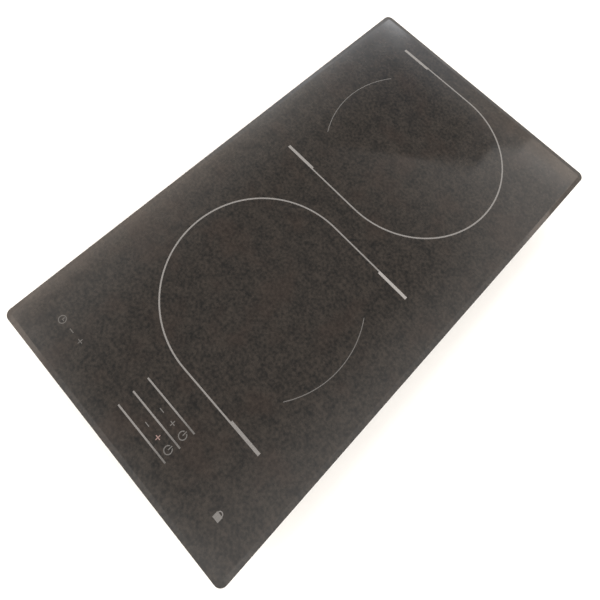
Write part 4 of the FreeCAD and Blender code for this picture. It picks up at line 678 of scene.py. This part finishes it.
moulded("powder_coat", (0.012, 0.012, 0.013), (0.03, 0.03, 0.031), 0.32, grain=1.4, depth=0.05)
moulded("fan_plastic", (0.012, 0.012, 0.012), (0.028, 0.028, 0.028), 0.38)
moulded("box_plastic", (0.016, 0.016, 0.017), (0.036, 0.036, 0.037), 0.42)
moulded("carrier_plastic", (0.018, 0.018, 0.018), (0.036, 0.036, 0.036), 0.45)
moulded("black_epoxy", (0.01, 0.01, 0.011), (0.022, 0.022, 0.024), 0.4, grain=0.35)
moulded("film_case", (0.035, 0.045, 0.07), (0.07, 0.085, 0.115), 0.25, depth=0.01)
moulded("relay_case", (0.02, 0.02, 0.024), (0.042, 0.042, 0.047), 0.3)
moulded("tray_plastic", (0.42, 0.42, 0.4), (0.56, 0.56, 0.53), 0.42)
moulded("block_plastic", (0.62, 0.6, 0.54), (0.76, 0.75, 0.7), 0.4)
moulded("nylon", (0.66, 0.66, 0.6), (0.8, 0.8, 0.75), 0.36)
moulded("sensor_plastic", (0.64, 0.64, 0.6), (0.77, 0.77, 0.74), 0.3, depth=0.01)
moulded("display_face", (0.006, 0.006, 0.007), (0.016, 0.015, 0.016), 0.08, depth=0.002, coat=0.4)
moulded("silicone", (0.02, 0.02, 0.02), (0.05, 0.05, 0.05), 0.5, grain=2, depth=0.08)
moulded("moulded_rubber", (0.012, 0.012, 0.012), (0.03, 0.03, 0.03), 0.6, grain=0.8, depth=0.05)
moulded("ferrite", (0.035, 0.035, 0.038), (0.08, 0.08, 0.084), 0.5, grain=0.7, depth=0.05)
moulded("choke_powder", (0.42, 0.36, 0.12), (0.62, 0.54, 0.2), 0.4, grain=0.8)
moulded("transformer_tape", (0.4, 0.34, 0.07), (0.6, 0.52, 0.12), 0.3, grain=3)
moulded("ribbon_jacket", (0.46, 0.46, 0.45), (0.62, 0.62, 0.6), 0.35, grain=1.2)

# %% [markdown]
# ## Finishes with a pattern of their own
# Foam has open pores, mica has flakes, a circuit board has copper tracks under its green resist,
# and litz wire is a twisted bundle that runs round its coil. Each gets a few lines of its own.

# %% Foam and mica
foam = Finish("seal_foam", {"Specular IOR Level": 0.3})
pores_and_pit_shade = foam.spots(0.7 * MM)
# The dark middle of each pore is painted shade in its pit; the bump makes the pit itself.
foam.tints(pores_and_pit_shade.between(0.05, 0.5), (0.004, 0.004, 0.004), (0.035, 0.034, 0.033))
foam.varies("Roughness", 0.78 + 0.12 * pores_and_pit_shade)
foam.bump(pores_and_pit_shade, 0.15 * MM)
finished(foam)

mica = Finish("mica", {"Specular IOR Level": 0.6})
flakes = mica.patches(2.5 * MM)
layers = flakes * 0.4 + mica.noise(14 * MM, detail=4) * 0.6
mica.tints(layers.between(0.25, 0.8), (0.26, 0.215, 0.145), (0.4, 0.345, 0.255))
mica.varies("Roughness", 0.3 + 0.3 * flakes)
mica.bump(flakes, 0.03 * MM)
finished(mica)

# %% Circuit board
TRACK_STEP = 2.2 * MM
RESIST = (0.006, 0.04, 0.018)
RESIST_ON_TRACK = (0.014, 0.085, 0.035)
SOLDER = (0.4, 0.4, 0.37)

board = Finish("circuit_board", {"IOR": 1.5})
x, y, _ = board.axes()
lengthwise = (x / TRACK_STEP).fraction().between(0.35, 0.5)
crosswise = (y / TRACK_STEP).fraction().between(0.35, 0.5)
upright = board.patches(14 * MM) > 0.5
tracks = lengthwise * upright + crosswise * (1 - upright)
pads = 1 - board.spots(6 * MM).between(0.12, 0.14)
board.tints(pads, board.mix(tracks, RESIST, RESIST_ON_TRACK), SOLDER)
board.varies("Metallic", pads)
board.varies("Roughness", 0.28 + 0.1 * pads + 0.08 * board.noise(9 * MM))
board.bump(tracks, 0.035 * MM)
finished(board)

# %% Litz wire, wound round each coil
LAY_LENGTH = 9 * MM
LAY_ACROSS = 3.3 * MM
LAY_DOWN = 1.5 * MM
STRANDS = 5


def litz(side):
    """Strands that cross a coil's turns at a slant, all the way round."""
    made = Finish(f"{side}_litz", {"Metallic": 1})
    low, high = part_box(f"{side}_coil_winding")
    x, y, z = made.axes(made.place(centre=(low + high) / 2))
    radius = (x * x + y * y) ** 0.5
    along_wire = y.maths("ARCTAN2", y, x) * radius / LAY_LENGTH
    strand = (along_wire + radius / LAY_ACROSS + z / LAY_DOWN) * STRANDS
    strands_and_groove_shade = abs(strand.sine())
    worn = made.noise(12 * MM, detail=3)
    # The dark grooves between the strands are painted shade; the second noise adds tone that differs at random.
    made.tints((strands_and_groove_shade * 0.6 + worn * 0.4).between(0.1, 0.9), (0.22, 0.075, 0.03),
               (0.62, 0.27, 0.12))
    made.varies("Roughness", 0.32 + 0.2 * worn)
    made.bump(strands_and_groove_shade, 0.06 * MM)
    finished(made)


litz("front")
litz("rear")

# %% [markdown]
# The coils' leads wear a braided glass-fibre sleeve, two sets of strands that cross. The choke's
# wire is enamelled copper. Mains wires are brown, blue and green-yellow, told apart by where each
# of them runs, since all three are one node.

# %% Lead sleeves, choke wire and mains wires
BRAID = 0.5 * MM
STRIPE_STEP = 4 * MM
BROWN = (0.16, 0.055, 0.02)
BLUE = (0.02, 0.06, 0.35)
GREEN = (0.03, 0.22, 0.03)
YELLOW = (0.7, 0.6, 0.04)

sleeve = Finish("lead_sleeve", {"Specular IOR Level": 0.4})
x, y, z = sleeve.axes()
weave_and_gap_shade = abs(((x + y + z) / BRAID).sine()).most(abs(((x + y - z) / BRAID).sine()))
# The dark gaps where the strands cross are painted shade in the pits of the braid.
sleeve.tints(weave_and_gap_shade, (0.3, 0.29, 0.26), (0.66, 0.64, 0.58))
sleeve.varies("Roughness", 0.5 + 0.2 * weave_and_gap_shade)
sleeve.bump(weave_and_gap_shade, 0.05 * MM)
finished(sleeve)

copper = Finish("enamelled_copper", {"Metallic": 1, "Coat Roughness": 0.1})
worn = copper.noise(3 * MM, detail=3)
copper.tints(worn.between(0.3, 0.7), (0.34, 0.1, 0.035), (0.6, 0.23, 0.09))
copper.varies("Roughness", 0.22 + 0.15 * worn)
copper.bump(worn, 0.01 * MM)
finished(copper)

wires = Finish("mains_wires", {"Specular IOR Level": 0.4})
wires_low, wires_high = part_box("mains_wires")
x, y, z = wires.axes()
share = (x - wires_low.x) / (wires_high.x - wires_low.x)
earth = wires.mix(((y + z) / STRIPE_STEP).fraction() > 0.6, GREEN, YELLOW)
wires.tints(share > 0.66, wires.mix(share > 0.33, BROWN, earth), BLUE)
wires.varies("Roughness", 0.35 + 0.15 * wires.noise(2 * MM))
wires.bump(wires.noise(0.6 * MM), 0.02 * MM)
finished(wires)

# %% [markdown]
# A capacitor's can has a dark sleeve with a pale stripe, and its bare top shows above the sleeve.
# The lenses of the status lights are reddish and glow a little.

# %% Capacitor cans and lamps
BARE_TOP = 0.6 * MM

can = Finish("can_sleeve", {"IOR": 1.5})
cans_low, cans_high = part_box("electrolytic_capacitors")
_, _, z = can.axes()
bare = z > cans_high.z - BARE_TOP
printed = can.mix(can.patches(9 * MM) > 0.62, (0.012, 0.014, 0.03), (0.3, 0.31, 0.33))
can.tints(bare, printed, (0.66, 0.67, 0.68))
can.varies("Metallic", bare)
can.varies("Roughness", 0.24 + 0.14 * bare + 0.08 * can.noise(3 * MM))
can.bump(can.noise(2 * MM), 0.01 * MM)
finished(can)

lens = Finish("lamp_lens", {"Emission Strength": 1.0, "Roughness": 0.3})
haze = lens.noise(0.8 * MM)
lens.tints(haze, (0.5, 0.34, 0.32), (0.7, 0.5, 0.48))
lens.varies("Emission Color", lens.mix(haze, (0.06, 0.01, 0.01), (0.12, 0.02, 0.02)))
finished(lens)

# %% [markdown]
# ## Screws
# A pan head is a profile turned about its axis, and its cross recess is a plus cut from a grid:
# four corners are deleted, the arms are narrowed and the plus is pushed down. One bridge joins the
# plus to the turned head. The profile is in shares of the head's radius and height, and the
# recess in shares of its radius.

# %% Pan-head screw
HEAD_RADIUS = 3 * MM
HEAD_HEIGHT = 1.8 * MM
HEAD_PROFILE = [(0.68, 1), (0.86, 0.86), (0.97, 0.55), (1, 0.2), (0.96, 0)]
HEAD_STEPS = 24
SHANK_RADIUS = 1.6 * MM
THREAD_PITCH = 1.1 * MM
THREAD_DEPTH = 0.3 * MM
RECESS_ARM = 0.52
RECESS_HALF = 0.13
RECESS_TAPER = 0.5
RECESS_DEPTH = 1.0 * MM
CLOSE_WITHIN = 0.001 * MM


def turned(bm, profile, steps):
    """A line of (radius, height) points turned about Z; an end at radius 0 closes it."""
    path = [bm.verts.new((radius, 0, level)) for radius, level in profile]
    edges = [bm.edges.new(pair) for pair in zip(path, path[1:])]
    bmesh.ops.spin(bm, geom=path + edges, cent=(0, 0, 0), axis=(0, 0, 1), angle=math.tau,
                   steps=steps, use_merge=True)
    bmesh.ops.remove_doubles(bm, verts=bm.verts, dist=CLOSE_WITHIN)


def plus_recess(bm, arm, half_width, level):
    """A cross-shaped pit at a level; returns the edges of its rim."""
    made = bmesh.ops.create_grid(bm, x_segments=3, y_segments=3, size=1,
                                 matrix=Matrix.Translation((0, 0, level)))
    corners = [face for face in {face for spot in made["verts"] for face in spot.link_faces}
               if min(abs(size) for size in face.calc_center_median().xy) > 0.5]
    bmesh.ops.delete(bm, geom=corners, context="FACES")
    spots = [spot for spot in made["verts"] if spot.is_valid]
    for spot in spots:
        for axis in range(2):
            reach = arm if abs(spot.co[axis]) > 0.5 else half_width
            spot.co[axis] = math.copysign(reach, spot.co[axis])
    faces = list({face for spot in spots for face in spot.link_faces})
    rim = edge_loop(faces)
    pushed = bmesh.ops.extrude_face_region(bm, geom=faces)
    lower = [item for item in pushed["geom"] if isinstance(item, bmesh.types.BMVert)]
    bmesh.ops.scale(bm, vec=(RECESS_TAPER, RECESS_TAPER, 1), verts=lower)
    bmesh.ops.translate(bm, vec=(0, 0, -RECESS_DEPTH), verts=lower)
    bmesh.ops.delete(bm, geom=[face for face in faces if face.is_valid], context="FACES_ONLY")
    return rim


def screw_mesh(scale, length):
    """A screw along Z: the head stands on z = 0 and the shank hangs below it."""
    head_radius = HEAD_RADIUS * scale
    head_height = HEAD_HEIGHT * scale
    shank_radius = SHANK_RADIUS * scale
    shank_length = length - head_height
    profile = [(head_radius * width, head_height * height) for width, height in HEAD_PROFILE]
    profile.append((shank_radius, 0))
    level = -THREAD_PITCH
    while level > 2 * THREAD_PITCH - shank_length:
        profile.append((shank_radius - THREAD_DEPTH, level + 0.35 * THREAD_PITCH))
        profile.append((shank_radius, level))
        level -= THREAD_PITCH
    profile += [(shank_radius - THREAD_DEPTH, level), (0, -shank_length)]
    bm = bmesh.new()
    turned(bm, profile, HEAD_STEPS)
    open_rim = [edge for edge in bm.edges if edge.is_boundary]
    recess_rim = plus_recess(bm, head_radius * RECESS_ARM, head_radius * RECESS_HALF, head_height)
    bmesh.ops.bridge_loops(bm, edges=open_rim + recess_rim)
    bmesh.ops.delete(bm, geom=[edge for edge in bm.edges if edge.is_wire], context="EDGES")
    bmesh.ops.recalc_face_normals(bm, faces=bm.faces)
    return bm


# %% [markdown]
# Each screw of a node sits in a box of its own. The head's seat follows from that box and from the
# way the screw points, and every recess is turned by another angle, as no two screws stop alike.

# %% Place the screws
FIRST_TURN = 0.4
NEXT_TURN = 1.3


def poured(bm, into):
    """Adds one bmesh to another and frees it."""
    mesh = bpy.data.meshes.new("poured")
    bm.to_mesh(mesh)
    bm.free()
    into.from_mesh(mesh)
    bpy.data.meshes.remove(mesh)


def screws(name, node, outward, finish="zinc_plate", slot="steel", scale=1):
    """Stands for all the screws of a node; outward tells which way the head of each points."""
    together = bmesh.new()
    for number, (low, high) in enumerate(islands(node)):
        middle = (low + high) / 2
        points_to = Vector(outward(middle))
        length = abs((high - low).dot(points_to))
        seat = middle + points_to * (length / 2 - HEAD_HEIGHT * scale)
        upright = points_to.to_track_quat("Z", "Y").to_matrix().to_4x4()
        spun = Matrix.Rotation(FIRST_TURN + NEXT_TURN * number, 4, "Z")
        screw = screw_mesh(scale, length)
        bmesh.ops.transform(screw, matrix=Matrix.Translation(seat) @ upright @ spun,
                            verts=screw.verts)
        poured(screw, together)
    piece(name, together, "cooktop", finish, slot, node)


def sideways(middle):
    return (math.copysign(1, middle.x), 0, 0)


def up(middle):
    return (0, 0, 1)


def down(middle):
    return (0, 0, -1)


screws("frame_side_screws", "frame_screws", sideways)
screws("clip_side_screws", "clip_screws", sideways)
screws("shield_plate_screws", "shield_screws", up)
screws("fan_mount_screws", "fan_screws", up)
screws("core_clamp_screws", "terminal_screws", down, "brass_plate", "brass", scale=0.7)

# %% [markdown]
# ## Spring clips
# Each clip is a strip of spring steel: flat under its screw, sprung out to a knee, and turned back
# in below it. A short row of vertices is drawn out to the strip's width, its bends are bevelled
# round, and solidify gives it the thickness of the steel.

# %% Clips
CLIP_THICK = 0.8 * MM
CLIP_EDGE = 0.2 * MM
SCREW_DROP = 3.5 * MM
KNEE_SHARE = 0.6
KNEE_ROUND = 1.6 * MM
CREASED_FROM = math.radians(60)


def clip_strip(low, high):
    """The face of one clip, with x measured outwards from its foot and z from its top."""
    drop = high.z - low.z
    knee_x = high.x - low.x - CLIP_THICK
    knee_z = -SCREW_DROP - (drop - SCREW_DROP) * KNEE_SHARE
    outline = [(0, 0), (0, -2 * SCREW_DROP), (knee_x, knee_z), (CLIP_THICK, -drop)]
    bm = bmesh.new()
    row = [bm.verts.new((x, low.y, z)) for x, z in outline]
    edges = [bm.edges.new(pair) for pair in zip(row, row[1:])]
    drawn = bmesh.ops.extrude_edge_only(bm, edges=edges)
    moved = [item for item in drawn["geom"] if isinstance(item, bmesh.types.BMVert)]
    bmesh.ops.translate(bm, vec=(0, high.y - low.y, 0), verts=moved)
    bends = [edge for edge in bm.edges if not edge.is_boundary]
    round_over(bm, bends, KNEE_ROUND, segments=5)
    bmesh.ops.recalc_face_normals(bm, faces=bm.faces)
    return bm


clips = bmesh.new()
for low, high in islands("spring_clips"):
    side = math.copysign(1, low.x)
    foot_x = low.x if side > 0 else high.x
    strip = clip_strip(low, high)
    for spot in strip.verts:
        spot.co.x = foot_x + side * spot.co.x
        spot.co.z += high.z
    if side < 0:
        bmesh.ops.reverse_faces(strip, faces=strip.faces)
    poured(strip, clips)
bmesh.ops.solidify(clips, geom=list(clips.faces), thickness=-CLIP_THICK)
bmesh.ops.reverse_faces(clips, faces=clips.faces)
round_over(clips, edges_over(clips, CREASED_FROM), CLIP_EDGE, segments=2)
piece("side_spring_clips", clips, "cooktop", "spring_steel", "spring_steel", "spring_clips")

# %% [markdown]
# ## Cable grommet
# The grommet is moulded rubber, turned about the cable's bore, so it is a profile and a spin. Its
# lips are rounded, and it narrows to a neck where the casing's sheet sits in it.

# %% Grommet
BORE = 5.5 * MM
LIP = 2 * MM
LIP_ROUND = 0.7 * MM
GROMMET_STEPS = 40
grommet_low, grommet_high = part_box("cable_grommet")
grommet_front = (grommet_low + grommet_high) / 2
grommet_front.y = grommet_low.y
outer = (grommet_high.x - grommet_low.x) / 2
length = grommet_high.y - grommet_low.y
outline = [(BORE, 0), (outer, 0), (outer, LIP), (outer - LIP, LIP), (outer - LIP, length - LIP),
           (outer, length - LIP), (outer, length), (BORE, length), (BORE, 0)]
grommet = bmesh.new()
turned(grommet, outline, GROMMET_STEPS)
round_over(grommet, edges_over(grommet, CREASED_FROM), LIP_ROUND)
along_bore = Matrix.Rotation(math.radians(-90), 4, "X")
bmesh.ops.transform(grommet, matrix=Matrix.Translation(grommet_front) @ along_bore,
                    verts=grommet.verts)
bmesh.ops.recalc_face_normals(grommet, faces=grommet.faces)
piece("rubber_grommet", grommet, "cooktop", "moulded_rubber", "rubber", "cable_grommet")

# %% [markdown]
# ## Softened sheet and mouldings
# Pressed sheet and moulded plastic have no knife edges. The CAD pieces have, so the larger ones
# are copied, triangles that lie in one plane are dissolved, and every sharp edge is rounded by a
# radius that suits its process, given in millimetres. The copies then stand for the CAD nodes.
# The lid also gets the shallow field that keeps a flat moulding stiff.

# %% Soften
FLAT_WITHIN = math.radians(0.5)
LID_BORDER = 4 * MM
LID_FIELD = 0.4 * MM
SOFTEN = {
    "worktop_seal": (0.5, "seal_foam", "seal_foam"),
    "support_frame": (0.25, "powder_coat", "black_sheet"),
    "bottom_casing": (0.3, "galvanised", "zinc_sheet"),
    "terminal_lid": (0.25, "box_plastic", "box_plastic"),
    "terminal_box": (0.3, "box_plastic", "box_plastic"),
    "control_tray": (0.2, "tray_plastic", "tray_plastic"),
    "fan_housing": (0.25, "fan_plastic", "fan_plastic"),
    "fan_cover": (0.25, "fan_plastic", "fan_plastic"),
    "resonant_capacitors": (0.6, "film_case", "film_case"),
    "bus_capacitors": (0.6, "film_case", "film_case"),
    "power_transistors": (0.3, "black_epoxy", "black_epoxy"),
    "rectifier_bridge": (0.3, "black_epoxy", "black_epoxy"),
    "mains_relay": (0.5, "relay_case", "relay_case"),
    "display_modules": (0.2, "display_face", "display_face"),
}

for node, (radius, finish, slot) in SOFTEN.items():
    body = "lid" if node == "terminal_lid" else "cooktop"
    bm = merged(node)
    bmesh.ops.dissolve_limit(bm, angle_limit=FLAT_WITHIN, verts=bm.verts, edges=bm.edges)
    if body == "lid":
        outside = max(facing(bm, (0, 0, -1)), key=lambda face: face.calc_area())
        bmesh.ops.inset_region(bm, faces=[outside], thickness=LID_BORDER, depth=-LID_FIELD)
    round_over(bm, edges_over(bm, SHARP_FROM), radius * MM, segments=2)
    piece(f"{node}_soft", bm, body, finish, slot, node)

# %% [markdown]
# ## Springs and leads that give
# Three springs press each coil up to the glass, and two leads feed it. When a coil is pushed down,
# both get shorter: their feet stay, and where the coil pushes on them they go down as far as it
# does. The record says which nodes do so and with which joint, and each of them becomes a copy of
# its node.

# %% Copies of the springs and leads
GIVING_FINISH = {"springs": "spring_steel", "leads": "lead_sleeve"}
slot_of = {row["node"]: row["material_slot"] for row in frame["record"]["subparts"]}
for joint in frame["joints"]:
    for row in joint.get("deforming_nodes", []):
        node = row["node"]
        zone, _, kind = node.split("_")
        low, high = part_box(node)
        made = piece(f"{node}_giving", merged(node), "cooktop", GIVING_FINISH[kind],
                     slot_of[node], node)
        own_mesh(made)

# %% [markdown]
# ## Finishes for the pieces that stay
# Every other CAD node keeps its mesh, and its material slot takes the finish of its stuff.

# %% Dress the CAD nodes
DRESS = {
    "zone_enamel": ["zone_print"],
    "key_enamel": ["control_print"],
    "silicone": ["glass_bond"],
    "zinc_plate": ["shield_posts", "fan_shaft"],
    "mill_aluminium": ["coil_shield"],
    "fin_aluminium": ["heatsink"],
    "carrier_plastic": ["front_coil_carrier", "rear_coil_carrier"],
    "front_litz": ["front_coil_winding"],
    "rear_litz": ["rear_coil_winding"],
    "ferrite": ["front_coil_ferrites", "rear_coil_ferrites"],
    "mica": ["front_coil_insulation", "rear_coil_insulation"],
    "spring_steel": ["touch_springs"],
    "sensor_plastic": ["front_temp_sensor", "rear_temp_sensor"],
    "circuit_board": ["power_board", "control_board"],
    "nylon": ["board_supports"],
    "tin_plate": ["coil_terminals"],
    "choke_powder": ["choke_core"],
    "enamelled_copper": ["choke_winding"],
    "can_sleeve": ["electrolytic_capacitors"],
    "transformer_tape": ["supply_transformer"],
    "fan_plastic": ["fan_rotor"],
    "sintered_bronze": ["fan_bearing"],
    "stator_iron": ["fan_stator"],
    "lamp_lens": ["status_lights"],
    "ribbon_jacket": ["control_ribbon"],
    "block_plastic": ["terminal_block"],
    "mains_wires": ["mains_wires"],
}
for finish, nodes in DRESS.items():
    for node in nodes:
        slots = frame["nodes"][node].material_slots
        if not slots:
            raise SystemExit(f"{node} has no material slot")
        for place in slots:
            place.material = FINISHES[finish]
dressed = {node for nodes in DRESS.values() for node in nodes}
replaced = {node for node, made in frame["nodes"].items() if made.hide_render}
print("undressed nodes", sorted(set(frame["nodes"]) - dressed - replaced))
